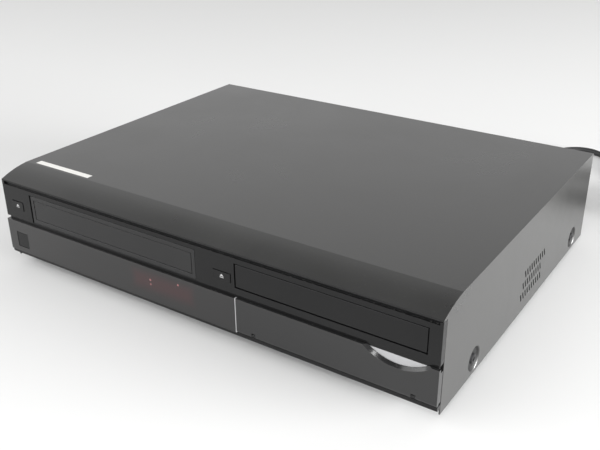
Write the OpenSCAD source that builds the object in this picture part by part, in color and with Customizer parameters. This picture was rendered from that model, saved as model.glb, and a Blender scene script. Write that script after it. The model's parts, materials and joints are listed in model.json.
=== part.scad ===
// Disc recorder with a front-loading tape deck, a drawer disc drive and a hard disk.
// The case stands on z = 0, x runs to the right as seen from the front, y runs to the rear.

/* [Case] */
// Width of the case
body_w = 430; // [424:1:440]
// Depth of the top cover, from the front face to its rear edge
cover_depth = 330; // [328:1:350]
// Height of the top above the surface it stands on
top_h = 93; // [92:1:100]
// Height of the lower edge of the cover above that surface
foot_gap = 8; // [6:0.5:9]
// Thickness of the steel sheet
sheet = 1; // [0.8:0.1:1.2]
// Distance of the crease in the top behind the front face
crease_y = 29; // [24:1:34]
// Height of the lower edge of the sloping part of the top
lip_h = 86; // [85:0.5:87]
// Radius of the sloping part in side view
slope_r = 95; // [90:5:140]
// Diameter of a foot
foot_d = 34; // [26:1:40]

/* [Front] */
// Wall of the moulded front
face_t = 2.5; // [2:0.1:2.5]
// Depth of the front's side strips
strip_d = 5.4; // [5:0.1:6]
// Lower edge of the upper face
face_foot = 51; // [50.5:0.1:51.4]
// Upper edge of the upper face
face_top = 81.7; // [81:0.1:82.5]
// Upper edge of the lower panel and flap
panel_top = 47.8; // [47:0.1:48.2]
// Lower edge of the lower panel and flap
panel_foot = 17.5; // [17.5:0.1:18.5]
// Lower edge of the base lip
base_foot = 13.5; // [12.5:0.1:14]
// How far the lower panel stands in front of the upper face
panel_proud = 1; // [0.6:0.1:1.2]
// Thickness of the lower panel and flap
panel_t = 2.5; // [2:0.1:2.7]
// Line left round each moving piece of the front
line_gap = 0.5; // [0.4:0.1:0.8]
// Place of the strip between panel and flap
divider_x = 46.8; // [44:0.2:49]
// Radius of the finger notch in the flap
notch_r = 39; // [34:1:46]

/* [Tape deck] */
// Width of a cassette
cassette_w = 187; // [186:0.5:188]
// Height of a cassette
cassette_h = 25; // [24:0.5:25]
// Depth of a cassette
cassette_d = 103; // [100:1:104]
// Distance of the cassette door from the left side of the case
door_inset = 35; // [34:0.25:36]
// Drop of the cassette on to the reels
cassette_drop = 22; // [20:1:22]
// Width of the cassette door
door_w = 188.5; // [188:0.1:189]
// Thickness of the cassette door
door_t = 2.5; // [2:0.1:2.7]
// Diameter of the head drum
drum_d = 62; // [58:1:62]
// Tilt of the head drum
drum_tilt = 6; // [4:0.5:6]
// Distance between the reels
reel_pitch = 92; // [88:1:94]

/* [Disc drive] */
// Distance of the tray's front from the right side of the case
fascia_inset = 10; // [9:0.5:11]
// Width of the tray's front
fascia_w = 158; // [154:1:160]
// Height of the tray's front
fascia_h = 20; // [19:0.5:20.5]
// Lower edge of the tray's front
fascia_foot = 57; // [56.5:0.5:57.5]
// Width of the tray
tray_w = 139; // [136:1:139]
// Length of the tray
tray_len = 168; // [166:1:170]
// Diameter of a disc
disc_d = 120; // [118:1:120]
// Teeth of the pinion that drives the tray
pinion_teeth = 18; // [14:1:20]

/* [Buttons] */
// Width of the power and eject buttons
button_w = 13.5; // [12:0.5:14]
// Height of the eject buttons
button_h = 8; // [6:0.5:9]
// Height of the power button
power_h = 14; // [12:0.5:15]

/* [Inside] */
// Thickness of the circuit boards
board_t = 1.6; // [1.2:0.1:2]
// Width of the hard disk
disk_w = 101.6; // [98:0.2:101.8]
// Length of the hard disk
disk_len = 147; // [140:1:147]
// Height of the hard disk
disk_h = 26; // [20:1:26.2]
// Side of the fan's square frame
fan_w = 50; // [44:1:52]
// Depth of the fan
fan_d = 15; // [12:1:15]

/* [Cord] */
// Diameter of the mains cord
cord_d = 6.5; // [6:0.1:6.8]
// Mean diameter of the coiled cord
coil_d = 76; // [65:1:78]

/* [Hidden] */
$fn = 48;

// Clearances
free = 0.3;
running = 0.05;

// Case
rear_reach = 6;
mid_y = (cover_depth + rear_reach - panel_proud) / 2;
side_x = body_w / 2;
cassette_x = -side_x + door_inset + door_w / 2;
tray_x = side_x - fascia_inset - fascia_w / 2;
plate_t = 1.2;
cover_front_y = strip_d + 0.4;
cover_lip_z = lip_h - 1.5;
slope_chord = sqrt(pow(crease_y, 2) + pow(top_h - lip_h, 2));
slope_rise = sqrt(pow(slope_r, 2) - pow(slope_chord / 2, 2));
slope_mid = [crease_y / 2, (top_h + lip_h) / 2];
slope_c = slope_mid - slope_rise * [lip_h - top_h, crease_y] / slope_chord;
dimple_depth = 1.6;
dimple_r = 10.5;
dimple_floor_r = 8;
cover_screw_y = [62, cover_depth - 35];
cover_screw_z = 20.5;
rear_flange_h = 8;
rear_screw_x = [65 - side_x, 0, side_x - 65];
rear_screw_z = top_h - sheet - rear_flange_h / 2;
screw_r = 1.8;
vent_y = 158;
vent_z = 23;
vent_pitch = 5.1;
vent_row = 10;

// Pan and rear panel
pan_side = side_x - dimple_depth - sheet;
pan_z = foot_gap + 1;
pan_top = pan_z + sheet;
pan_front = 8;
panel_y = cover_depth - 2 * sheet;
flange_y = 24;
flange_h = 24;
foot_x = side_x - 50;
foot_y = [50, cover_depth - 45];

// Front
bed_y = 4.5;
bed_t = 2;
board_y = 12;
upper_button_x = cassette_x - door_w / 2 - 17.3;
tray_button_x = divider_x - 11.8;
tray_button_w = 16;
upper_button_z = 60;
power_z = 22.8;
door_foot = face_foot + 0.3;
door_top = door_foot + cassette_h + 1.4;
door_y = 0.6;
door_axis = [door_y + 4.6, door_top + 4.4];
door_arm_r = 1.9;
door_pin_r = 1.5;
door_pin_out = 4.5;
flap_x0 = divider_x + 0.8;
flap_axis = [panel_t / 2 - panel_proud + 0.2, panel_foot + 2];
flap_barrel_r = flap_axis[0] + panel_proud;
flap_pin_r = 1;
lug_w = 3;
notch_x = side_x - 31.5;
notch_z = 39.9 + notch_r;
bay = [divider_x + 19.2, side_x - 19, 22.5, 36.5];
flap_lugs = [bay[0] - 4, bay[1]];
display = [-64, 10, 27, 43];

// Tape deck
deck_z = 22.8;
deck_t = 1.2;
deck_top = deck_z + deck_t;
deck_box = [cassette_x - 101.5, cassette_x + 109, 28, 260];
deck_post_xy = [for (p = [[-94.25, 34], [95.75, 34], [-94.25, 250], [102.75, 254]]) p + [cassette_x, 0]];
holder_clear = 1;
holder_foot = door_foot - 0.7;
holder_x = cassette_w / 2 + holder_clear;
holder_wall = 1;
holder_y0 = 80;
holder_y1 = holder_y0 + cassette_d - 6;
slider_x = holder_x + holder_wall + 0.6;
bracket_x = slider_x + 1 + 0.6;
holder_top = holder_foot + holder_wall + cassette_h + 0.8;
slider_top = holder_top + 3.6;
bracket_top = slider_top + 1;
holder_pins = [95, 162];
holder_pin_z = 56;
holder_pin_r = 1.5;
slot_w = 3.4;
carriage_travel = 62;
slider_pins = [100, 158];
slider_pin_z = 70;
drum_y = 218;
drum_z = deck_top + 4;
drum_lower_h = 21;
drum_upper_h = 20;
capstan_at = [cassette_x + 51.75, 188];
capstan_r = 1.5;
flywheel_r = 29;
roller_r = 6;
pinch_pivot = [cassette_x + 93.75, 186];
pinch_at = [cassette_x + 65.15, 204.8];
supply_from = [cassette_x - 32, 166];
guide_run = [-12, 62];
guide_w = 12;
cam_at = [cassette_x + 80.75, 228];
cam_teeth = 36;
loading_teeth = 12;
loading_at = (cam_teeth + loading_teeth) / 2 * [cos(45), sin(45)];

// Disc drive
drive_x0 = tray_x - 73;
drive_x1 = tray_x + 73;
drive_y0 = 14;
drive_y1 = 190;
drive_floor = 44;
drive_wall = 2.5;
tray_y0 = 4.4;
tray_foot = 62;
tray_top = 69;
disc_y = 82;
ledge_z = tray_foot - free;
rack_x = tray_x - 61;
rack_h = 4.5;
pinion_y = 32;
pinion_r = pinion_teeth / 2;
wheel_teeth = 32;
pulley_teeth = 10;
pulley_x = rack_x + pinion_r + (wheel_teeth + pulley_teeth) / 2;
pulley_r = 11;
motor_x = tray_x + 10;
motor_r = 4;
traverse_pivot = [176, 55];
traverse_drop = 3;
traverse_z = 54;
rod_x = 26;
rod_r = 1.5;
rod_z = 51;
clamp_z = 71;
bridge_z = 76;

// Rear and inside
main_z = 34;
main_box = [15 - side_x, 40, panel_y - 64, panel_y - 2];
power_z0 = 16;
power_box = [side_x - 155, side_x - 11, panel_y - 132, panel_y - 28];
disk_z = 48;
disk_at = [side_x - 163, panel_y - 134];
disk_shelf = [disk_at[0] - 2, disk_at[0] + disk_len + 11, disk_at[1] - 2, disk_at[1] + disk_w + 2.4];
fan_at = [side_x - 70, top_h - 38];
jack_x = [-140, -122, -104, -70, -52, -34];
jack_z = [45, 59, 73];
jack_r = 4.1;
video_x = -12;
video_z = [45, 61];
wide_socket = [4.5, 20, 42, 47];
light_socket = [5.5, 16.5, 56, 67];
aerial_x = 33 - side_x;
aerial_z = [46, 62];
gland_at = [side_x - 25, 26];
gland_len = 35.5;
digital_box = [drive_x0 + 11, side_x - 27, 38, drive_y1 - 8];

// Cord, in millimetres from the middle of the case
gland_end = panel_y + sheet + 3 + gland_len - mid_y;
cord_z = cord_d / 2 + 0.15;
coil_at = [262, 290];
coil_edge = coil_d / 2 + 1.5 * cord_d;
coil_turn = coil_d / 2 + cord_d;
plug_back = 13;
plug_tail_w = 8;
plug_drop = sqrt(pow(coil_edge, 2) - pow(coil_turn - plug_tail_w / 2, 2));
plug_at = [coil_at[0] + coil_turn, coil_at[1] - plug_drop - plug_back];
cord_route = [[gland_at[0], gland_end, gland_at[1]], [190, gland_end + 12, 25.4], [190, gland_end + 22, 22],
  [189, gland_end + 32, 16], [187, gland_end + 42, 9], [184, gland_end + 52, 4.6],
  [180, gland_end + 62, cord_z], [172, 278, cord_z], [160, 298, cord_z], [146, 318, cord_z],
  [132, 338, cord_z], [122, 358, cord_z],
  [119, 377, cord_z], [124, 395, cord_z], [136, 408, cord_z], [151, 413, cord_z], [166, 409, cord_z],
  [179, 399, cord_z], [188, 386, cord_z], [195, 371, cord_z], [207, 357, cord_z], [226, 346, cord_z],
  [247, 339, cord_z], [coil_at[0] + coil_turn * sin(14), coil_at[1] + coil_turn * cos(14), cord_z]];

// A box from x, y and z spans
module span(x, y, z) {
  translate([x[0], y[0], z[0]]) cube([x[1] - x[0], y[1] - y[0], z[1] - z[0]]);
}

// Round bars along x, y and z, each from one end to the other at a point of the other two axes
module bar_x(x, at, r) {
  translate([x[0], at[0], at[1]]) rotate([0, 90, 0]) cylinder(h = x[1] - x[0], r = r);
}

module bar_y(y, at, r) {
  translate([at[0], y[1], at[1]]) rotate([90, 0, 0]) cylinder(h = y[1] - y[0], r = r);
}

module post(z, at, r) {
  translate([at[0], at[1], z[0]]) cylinder(h = z[1] - z[0], r = r);
}

// A slot with round ends along y in a plate across x
module slot_y(x, y, z, w) {
  span(x, y, [z - w / 2, z + w / 2]);
  for (end = y) bar_x(x, [end, z], w / 2);
}

// The same along z
module slot_z(x, y, z, w) {
  span(x, [y - w / 2, y + w / 2], z);
  for (end = z) bar_x(x, [y, end], w / 2);
}

// Moves what is measured from the front face to the middle of the case
module placed() {
  translate([0, -mid_y, 0]) children();
}

// Both sides of the case
module both_sides() {
  for (s = [0, 1]) mirror([s, 0, 0]) children();
}

// Involute gear outline
function roll(r, base) = sqrt(pow(r / base, 2) - 1) * 180 / PI - acos(base / r);
function flank(teeth, module_mm, slack) = let (
    pitch = teeth * module_mm / 2,
    base = pitch * cos(20),
    foot = max(base + 0.01, pitch - 1.1 * module_mm),
    tip = pitch + 0.9 * module_mm,
    half = 90 / teeth - slack / pitch * 180 / PI
  ) [for (i = [0:5]) let (r = foot + (tip - foot) * i / 5) [r, half + roll(pitch, base) - roll(r, base)]];

module gear(teeth, thick, module_mm = 1, slack = 0.09) {
  side = flank(teeth, module_mm, slack);
  root = teeth * module_mm / 2 - 1.25 * module_mm;
  step = 360 / teeth;
  points = [for (t = [0:teeth - 1]) each concat(
    [root * [cos(step * t - side[0][1] - 1), sin(step * t - side[0][1] - 1)]],
    [for (p = side) p[0] * [cos(step * t - p[1]), sin(step * t - p[1])]],
    [for (i = [5:-1:0]) side[i][0] * [cos(step * t + side[i][1]), sin(step * t + side[i][1])]],
    [root * [cos(step * t + side[0][1] + 1), sin(step * t + side[0][1] + 1)]])];
  linear_extrude(thick) polygon(points);
}

// Side view of the cover, drawn in by a wall, with its upper front corner rounded down to the lip
module cover_outline(wall) {
  difference() {
    translate([wall > 0 ? -5 : 0, foot_gap - 5]) square([cover_depth + 10, top_h - wall - foot_gap + 5]);
    difference() {
      translate([-6, lip_h / 2]) square([crease_y + 9, top_h]);
      translate(slope_c) circle(r = slope_r - wall, $fn = 180);
    }
  }
}

// The cover's section pulled along x
module cover_block(x, wall) {
  translate([x, 0, 0]) rotate([90, 0, 90]) linear_extrude(-2 * x) cover_outline(wall);
}

// Cone of a side screw's dished seat, from a depth below the outside inwards
module dimple(from, to, grow) {
  fall = (dimple_r - dimple_floor_r) / dimple_depth;
  wide = dimple_r + grow;
  translate([0, 0, from]) cylinder(h = to - from, r1 = wide - fall * from, r2 = wide - fall * to);
}

module at_side_screws() {
  for (y = cover_screw_y) translate([side_x, y, cover_screw_z]) rotate([0, -90, 0]) children();
}

module top_cover() {
  flange_z = top_h - sheet - rear_flange_h;
  color([0.2, 0.2, 0.2]) placed() difference() {
    union() {
      difference() {
        cover_block(-side_x, 0);
        cover_block(-side_x + sheet, sheet);
        span([-side_x - 1, side_x + 1], [cover_depth, cover_depth + 20], [0, top_h + 1]);
        span([-side_x - 1, side_x + 1], [-1, cover_depth + 1], [-1, foot_gap]);
        span([-side_x - 1, side_x + 1], [-1, cover_front_y], [0, cover_lip_z]);
      }
      both_sides() at_side_screws() dimple(sheet / 2, dimple_depth + sheet, sheet);
      span([-side_x + sheet / 2, side_x - sheet / 2], [cover_depth - sheet, cover_depth],
        [flange_z, top_h - sheet / 2]);
    }
    both_sides() at_side_screws() {
      dimple(-0.1, dimple_depth, 0);
      cylinder(h = 9, r = screw_r + free, center = true);
    }
    for (x = rear_screw_x)
      bar_y([panel_y, cover_depth + 1], [x, rear_screw_z], screw_r + free);
    vents();
  }
}

// Three staggered rows of slanted slots in the right side
module vents() {
  for (row = [0:2], i = [0:9 - row % 2]) {
    translate([side_x, vent_y + (i + row / 2) * vent_pitch, vent_z + row * vent_row])
      rotate([26, 0, 0]) slot_z([-3, 3], 0, [-3.2, 3.2], 2);
  }
}

module screw_head(r, h) {
  difference() {
    cylinder(h = h, r1 = r, r2 = r * 0.8);
    for (a = [0, 90]) rotate(a) translate([-r * 0.55, -0.5, h - 0.9]) cube([r * 1.1, 1, 1]);
  }
}

module cover_screws() {
  color([0.25, 0.25, 0.26]) placed() {
    both_sides() at_side_screws() translate([0, 0, dimple_depth]) {
      rotate([180, 0, 0]) screw_head(4.5, 1.5);
      cylinder(h = 8, r = screw_r);
    }
    for (x = rear_screw_x) translate([x, cover_depth, rear_screw_z]) rotate([-90, 0, 0]) {
      screw_head(3.6, 1.8);
      translate([0, 0, -7]) cylinder(h = 7, r = screw_r);
    }
  }
}

module board_posts(box, top, inset) {
  for (x = [box[0] + inset, box[1] - inset], y = [box[2] + inset, box[3] - inset]) {
    post([pan_top, top], [x, y], 3);
  }
}

module chassis_base() {
  color([0.72, 0.73, 0.74]) placed() {
    difference() {
      union() {
        span([-pan_side, pan_side], [pan_front, panel_y], [pan_z, pan_top]);
        both_sides() span([pan_side - sheet, pan_side], [flange_y, panel_y], [pan_top, pan_top + flange_h]);
        span([-pan_side + 2, pan_side - 2], [pan_front, pan_front + sheet], [pan_top, pan_top + 6]);
        span([-pan_side, pan_side], [panel_y - sheet, panel_y], [pan_top, pan_top + 8]);
      }
      both_sides() at_side_screws() cylinder(h = 9, r = screw_r + running);
      for (x = [0:9:99], y = [0, 34]) translate([power_box[0] + 20 + x, power_box[2] + 24 + y, pan_z])
        rotate([0, 90, 0]) slot_y([-2 * sheet, sheet], [0, 20], 0, 3);
      for (x = [-foot_x, foot_x], y = foot_y) post([pan_z - 1, pan_top + 1], [x, y], 2);
    }
    for (at = deck_post_xy) difference() {
      post([pan_top, deck_z], at, 4);
      post([deck_z - 8, deck_z + 1], at, 1.4);
    }
    board_posts(main_box, main_z, 6);
    board_posts(power_box, power_z0, 6);
    board_posts(digital_box, power_z0, 6);
  }
}

module feet() {
  color([0.1, 0.1, 0.1]) placed() for (x = [-foot_x, foot_x], y = foot_y) translate([x, y, 0]) difference() {
    rotate_extrude() polygon([[0, pan_z], [foot_d / 2 - 3, pan_z], [foot_d / 2 - 1, 3], [foot_d / 2, 2.4],
      [foot_d / 2, 0.6], [foot_d / 2 - 0.8, 0], [foot_d / 2 - 6, 0], [foot_d / 2 - 7, 1.6], [0, 1.6]]);
    translate([0, 0, 1]) cylinder(h = 4, r = 4);
    cylinder(h = pan_z + 1, r = 1.8);
  }
}

// Opening left in the front round a cap of that size
module button_hole(x, z, w, h, y) {
  span([x - w / 2 - line_gap, x + w / 2 + line_gap], y, [z - line_gap, z + h + line_gap]);
}

// Guide behind the front in which a button's stem runs
module button_guide(x, z, w, h, y) {
  difference() {
    span([x - w / 2 - 3.5, x + w / 2 + 3.5], y, [z - 3, z + h + 3]);
    span([x - w / 2 - 1.8, x + w / 2 + 1.8], [y[0] - 1, y[1] + 1], [z - 1.8, z + h + 1.8]);
  }
}

module door_ear(x) {
  span(x, [face_t, door_axis[0] + 2.6], [door_axis[1] - 3, door_axis[1] + 2.2]);
}

module front_bezel() {
  door_x = [cassette_x - door_w / 2 - line_gap, cassette_x + door_w / 2 + line_gap];
  color([0.16, 0.16, 0.17]) placed() difference() {
    union() {
      span([-side_x, side_x], [0, face_t], [face_foot, face_top]);
      span([-side_x + 1.5, side_x - 1.5], [face_t - 0.5, face_t + 0.5], [face_top - 1, cover_lip_z - 0.3]);
      span([-side_x + 1.5, side_x - 1.5], [face_t - 0.7, bed_y + bed_t], [panel_top - 1, face_foot + 0.01]);
      span([-side_x + 1.5, side_x - 1.5], [bed_y, bed_y + bed_t], [base_foot, face_foot]);
      span([-side_x, side_x], [1, strip_d], [base_foot, base_foot + 2]);
      span([-side_x, side_x], [0.3, strip_d], [base_foot + 0.8, panel_foot - 0.3]);
      span([-side_x + 1.5, side_x - 1.5], [strip_d - 0.1, pan_front], [base_foot, base_foot + 2]);
      both_sides() {
        span([side_x - face_t, side_x], [0, strip_d], [face_foot, cover_lip_z - 0.3]);
        span([side_x - 4, side_x - 1.5], [bed_y, flange_y - 2], [base_foot, cover_lip_z - 4]);
        span([side_x - 4, side_x - 1.5], [flange_y - 6, flange_y - 0.3], [panel_top - 6, panel_top + 6]);
      }
      span([-side_x + 1.5, -side_x + 4], [bed_y, bed_y + bed_t], [base_foot, panel_top]);
      for (x = [door_x[0] - 3.5, door_x[1] + 0.5]) door_ear([x, x + 3]);
      button_guide(upper_button_x, upper_button_z, button_w, button_h, [face_t - 0.01, 7]);
      button_guide(tray_button_x, upper_button_z, tray_button_w, button_h - 1, [face_t - 0.01, 7]);
      for (x = flap_lugs) {
        span([x, x + lug_w], [flap_axis[0], bed_y + 0.1], [panel_foot + 0.7, panel_foot + 3.3]);
        bar_x([x, x + lug_w], flap_axis, flap_barrel_r - 0.1);
      }
    }
    span(door_x, [-1, bed_y + bed_t + 1], [face_foot - 0.1, door_top + line_gap]);
    for (x = [door_x[0] - 0.2, door_x[1] - 4]) span([x, x + 4.2], [face_t - 0.01, 12],
      [door_axis[1] - 6, cover_lip_z + 1]);
    for (x = [door_x[0] - 4, door_x[1] - 1]) bar_x([x, x + 5], door_axis, door_pin_r + running);
    span([tray_x - fascia_w / 2 - line_gap, tray_x + fascia_w / 2 + line_gap], [-1, bed_y + bed_t + 1],
      [fascia_foot - line_gap, fascia_foot + fascia_h + line_gap]);
    button_hole(upper_button_x, upper_button_z, button_w, button_h, [-1, face_t + 1]);
    button_hole(tray_button_x, upper_button_z, tray_button_w, button_h - 1, [-1, face_t + 1]);
    button_hole(upper_button_x, power_z, button_w, power_h, [bed_y - 1, bed_y + bed_t + 1]);
    span([display[0], display[1]], [bed_y - 1, bed_y + bed_t + 1], [display[2], display[3]]);
    span([bay[0], bay[1]], [bed_y - 1, bed_y + bed_t + 1], [bay[2], bay[3]]);
    for (x = flap_lugs) bar_x([x - 1, x + lug_w + 1], flap_axis, flap_pin_r + running);
  }
}

module status_window() {
  x1 = divider_x - 0.5;
  color([0.12, 0.11, 0.12]) placed() difference() {
    union() {
      span([-side_x, x1], [-panel_proud, panel_t - panel_proud], [panel_foot, panel_top]);
      span([-side_x, -side_x + 1.5], [-panel_proud, strip_d], [panel_foot, panel_top]);
      for (z = [panel_foot, panel_top - 3])
        span([-side_x + 2, x1], [panel_t - panel_proud, bed_y], [z + 0.5, z + 2]);
    }
    button_hole(upper_button_x, power_z, button_w, power_h, [-panel_proud - 1, bed_y]);
    span([-side_x - 1, -side_x + 2.1], [strip_d - 2, strip_d + 1], [panel_top - 4, panel_top + 1]);
  }
}

module front_flap() {
  plate_z = flap_axis[1];
  color([0.17, 0.17, 0.18]) placed() {
    difference() {
      union() {
        span([flap_x0, side_x], [-panel_proud, panel_t - panel_proud], [plate_z, panel_top]);
        bar_x([flap_x0, side_x], flap_axis, flap_barrel_r);
        span([side_x - 1.2, side_x], [-panel_proud, strip_d - 0.6], [plate_z, panel_top - 3]);
      }
      translate([notch_x, panel_t, notch_z]) rotate([90, 0, 0])
        cylinder(h = panel_t + panel_proud + 1, r1 = notch_r - 1.2, r2 = notch_r + 2.6, $fn = 120);
      for (x = flap_lugs) bar_x([x - free, x + lug_w + free], flap_axis, flap_barrel_r + 1.4);
    }
    for (x = flap_lugs) bar_x([x - 1, x + lug_w + 1], flap_axis, flap_pin_r);
  }
}

module flap_insert() {
  color([0.8, 0.8, 0.8]) placed() intersection() {
    span([notch_x - 30, notch_x + 30], [panel_t - panel_proud + free, bed_y], [30, panel_top - 1]);
    translate([notch_x, bed_y + 1, notch_z]) rotate([90, 0, 0])
      cylinder(h = 9, r1 = notch_r + 4, r2 = notch_r, $fn = 120);
  }
}

module divider_strip() {
  x = [divider_x - 0.45, divider_x + 0.45];
  color([0.75, 0.75, 0.75]) placed() {
    span(x, [-panel_proud + 0.3, face_t - 1], [panel_foot, panel_top]);
    span(x, [face_t - 1.1, bed_y], [panel_foot, panel_top - 1]);
  }
}

module cassette_door() {
  x0 = cassette_x - door_w / 2;
  x1 = cassette_x + door_w / 2;
  color([0.18, 0.18, 0.19]) placed() {
    difference() {
      span([x0, x1], [door_y, door_y + door_t], [door_foot, door_top]);
      span([x0 + 2, x1 - 2], [door_y - 0.01, door_y + 0.4], [door_foot + 2, door_top - 2]);
    }
    span([x0 + 2.4, x1 - 2.4], [door_y + 0.1, door_y + 0.6], [door_foot + 2.4, door_top - 2.4]);
    for (x = [x0, x1 - 2.5]) difference() {
      union() {
        bar_x([x, x + 2.5], door_axis, door_arm_r);
        span([x, x + 2.5], [door_y + door_t - 0.1, door_axis[0] + door_arm_r], [door_top - 5, door_axis[1]]);
      }
      translate([x - 1, door_axis[0] + 3.2, door_top - 6]) rotate([0, 90, 0]) cylinder(h = 5, r = 3);
    }
    bar_x([x0 - door_pin_out + 1, x0 + 0.1], door_axis, door_pin_r);
    bar_x([x1 - 0.1, x1 + door_pin_out - 1], door_axis, door_pin_r);
  }
}

// A cap with a retaining rim behind the front and a stem
module button(x, z, w, h, cap_y, rim_y, stem_y) {
  placed() {
    span([x - w / 2, x + w / 2], [cap_y, rim_y], [z, z + h]);
    span([x - w / 2 - 1.4, x + w / 2 + 1.4], [rim_y - 0.1, rim_y + 1], [z - 1.4, z + h + 1.4]);
    bar_y([rim_y, stem_y], [x, z + h / 2], 1.5);
  }
}

module power_button() {
  color([0.14, 0.14, 0.15])
    button(upper_button_x, power_z, button_w, power_h, -0.8, bed_y + bed_t + 0.4, 8.6);
}

module eject_button() {
  color([0.14, 0.14, 0.15])
    button(upper_button_x, upper_button_z, button_w, button_h, -0.5, face_t + 0.4, 8.6);
}

module tray_button() {
  color([0.14, 0.14, 0.15])
    button(tray_button_x, upper_button_z, tray_button_w, button_h - 1, -0.5, face_t + 0.4, 8.6);
}

module tact_switch(x, z) {
  span([x - 3, x + 3], [board_y - 1.6, board_y], [z - 3, z + 3]);
  bar_y([board_y - 2.1, board_y - 1.6], [x, z], 1.6);
}

module front_board() {
  color([0.25, 0.35, 0.2]) placed() {
    span([-side_x + 7, divider_x - 2], [board_y, board_y + board_t], [pan_top + 6.5, panel_top - 1]);
    span([-side_x + 7, upper_button_x + 9], [board_y, board_y + board_t],
      [panel_top - 2, upper_button_z + button_h + 4]);
    span([tray_button_x - 10, divider_x - 2], [board_y, board_y + board_t],
      [panel_top - 2, upper_button_z + button_h + 2]);
    tact_switch(upper_button_x, upper_button_z + button_h / 2);
    tact_switch(upper_button_x, power_z + power_h / 2);
    tact_switch(tray_button_x, upper_button_z + button_h / 2 - 0.5);
    span([display[0] - 4, display[1] + 4], [bed_y + bed_t + free, board_y], [display[2] - 1, display[3] + 1]);
    for (x = [-150, -120, -90]) span([x, x + 9], [board_y - 4, board_y], [24, 30]);
  }
}

module front_jacks() {
  y0 = bed_y + bed_t;
  mid_z = (bay[2] + bay[3]) / 2;
  round_x = bay[0] + 70;
  slot_x = bay[1] - 36;
  color([0.22, 0.22, 0.23]) placed() difference() {
    union() {
      span([bay[0] - 3, bay[1] + 3], [y0, y0 + 2], [bay[2] - 3, bay[3] + 3]);
      for (i = [0:2]) bar_y([2.4, y0 + 10], [bay[0] + 18 + i * 16, mid_z], jack_r);
      bar_y([y0 - 2, y0 + 10], [round_x, mid_z], 5.2);
      span([slot_x, slot_x + 30], [y0 - 1.5, y0 + 26], [mid_z - 4, mid_z + 2]);
    }
    for (i = [0:2]) bar_y([2, y0 + 8], [bay[0] + 18 + i * 16, mid_z], 1.7);
    bar_y([y0 - 3, y0 + 3], [round_x, mid_z], 4.2);
    span([slot_x + 2, slot_x + 28], [y0 - 2, y0 + 24], [mid_z - 2.5, mid_z + 0.5]);
  }
}

module tray_front() {
  color([0.18, 0.18, 0.19]) placed() difference() {
    span([tray_x - fascia_w / 2, tray_x + fascia_w / 2], [0.3, tray_y0],
      [fascia_foot, fascia_foot + fascia_h]);
    span([tray_x - fascia_w / 2 + 2, tray_x + fascia_w / 2 - 2], [1.8 + face_t / 2, tray_y0 + 1],
      [fascia_foot + 1.5, tray_foot - 0.5]);
  }
}

// Rack along y with its teeth towards +x, the pitch line on x = 0
module rack(y0, teeth) {
  pitch = PI;
  half = pitch / 4 - 0.09;
  span([-3.5, -1.2], [y0 - pitch, y0 + teeth * pitch], [0, rack_h]);
  for (i = [0:teeth - 1]) translate([0, y0 + i * pitch, 0]) linear_extrude(rack_h)
    polygon([[-1.3, -half - 0.46], [0.9, -half + 0.33], [0.9, half - 0.33], [-1.3, half + 0.46]]);
}

module disc_tray() {
  tray_end = tray_y0 + tray_len;
  color([0.13, 0.13, 0.14]) placed() {
    difference() {
      span([tray_x - tray_w / 2, tray_x + tray_w / 2], [tray_y0, tray_end], [tray_foot, tray_top]);
      post([tray_top - 2.6, tray_top + 1], [tray_x, disc_y], disc_d / 2 + 1.5);
      post([tray_top - 3.6, tray_top + 1], [tray_x, disc_y], disc_d / 3 + 1);
      post([tray_foot - 1, tray_top + 1], [tray_x, disc_y], 20);
      span([tray_x - 24, tray_x + 24], [disc_y, tray_end + 1], [tray_foot - 1, tray_top + 1]);
      for (x = [tray_x - 57, tray_x + 26])
        span([x, x + 31], [tray_y0 + 14, tray_end - 8], [tray_foot - 1, tray_foot + 2.2]);
      for (y = [tray_y0 + 3, tray_end - 5])
        span([tray_x - 62, tray_x - 30], [y, y + 2], [tray_foot + 4, tray_top + 1]);
    }
    translate([rack_x, 0, tray_foot - rack_h]) rack(pinion_y - PI * (pinion_teeth % 2 == 0 ? 1.5 : 1), 46);
  }
}

module drive_frame() {
  inner = [drive_x0 + drive_wall, drive_x1 - drive_wall];
  color([0.6, 0.6, 0.62]) placed() difference() {
    union() {
      for (x = [[drive_x0, inner[0]], [inner[1], drive_x1]])
        span(x, [drive_y0, drive_y1], [drive_floor, bridge_z]);
      span([drive_x0, drive_x1], [drive_y1 - drive_wall, drive_y1], [drive_floor, bridge_z]);
      span([drive_x0, drive_x1], [drive_y0, drive_y1], [drive_floor, drive_floor + 2]);
      span([drive_x0, drive_x1], [drive_y0, drive_y0 + drive_wall], [drive_floor, drive_floor + 5]);
      for (x = [[inner[0] - 0.1, inner[0] + 4], [inner[1] - 4, inner[1] + 0.1]]) {
        span(x, [drive_y0, drive_y1 - 1], [ledge_z - 3, ledge_z]);
        for (y = [22, 96]) span(x, [y, y + 12], [tray_top + free, tray_top + 2.3]);
      }
      for (x = [drive_x0, drive_x1 - 6], y = [drive_y0 + 2, drive_y1 - 14]) span([x, x + 6], [y, y + 10],
        [pan_top, drive_floor + 1]);
      post([drive_floor + 1, ledge_z - 0.7], [rack_x + pinion_r, pinion_y], 2.5);
      post([drive_floor + 1, ledge_z - 5], [pulley_x, pinion_y], 2);
      for (s = [-1, 1]) span([tray_x + s * 47 - 2, tray_x + s * 47 + 2],
        [traverse_pivot[0] - 5, drive_y1 - 1], [drive_floor + 1, traverse_pivot[1] + 5]);
    }
    span([tray_x - 44, tray_x + 46], [pinion_y + 24, drive_y1 - 8], [drive_floor - 1, drive_floor + 3]);
    bar_x([tray_x - 52, tray_x + 52], traverse_pivot, 2 + running);
    post([drive_floor - 1, drive_floor + 3], [motor_x, pinion_y], 3);
  }
}

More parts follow.
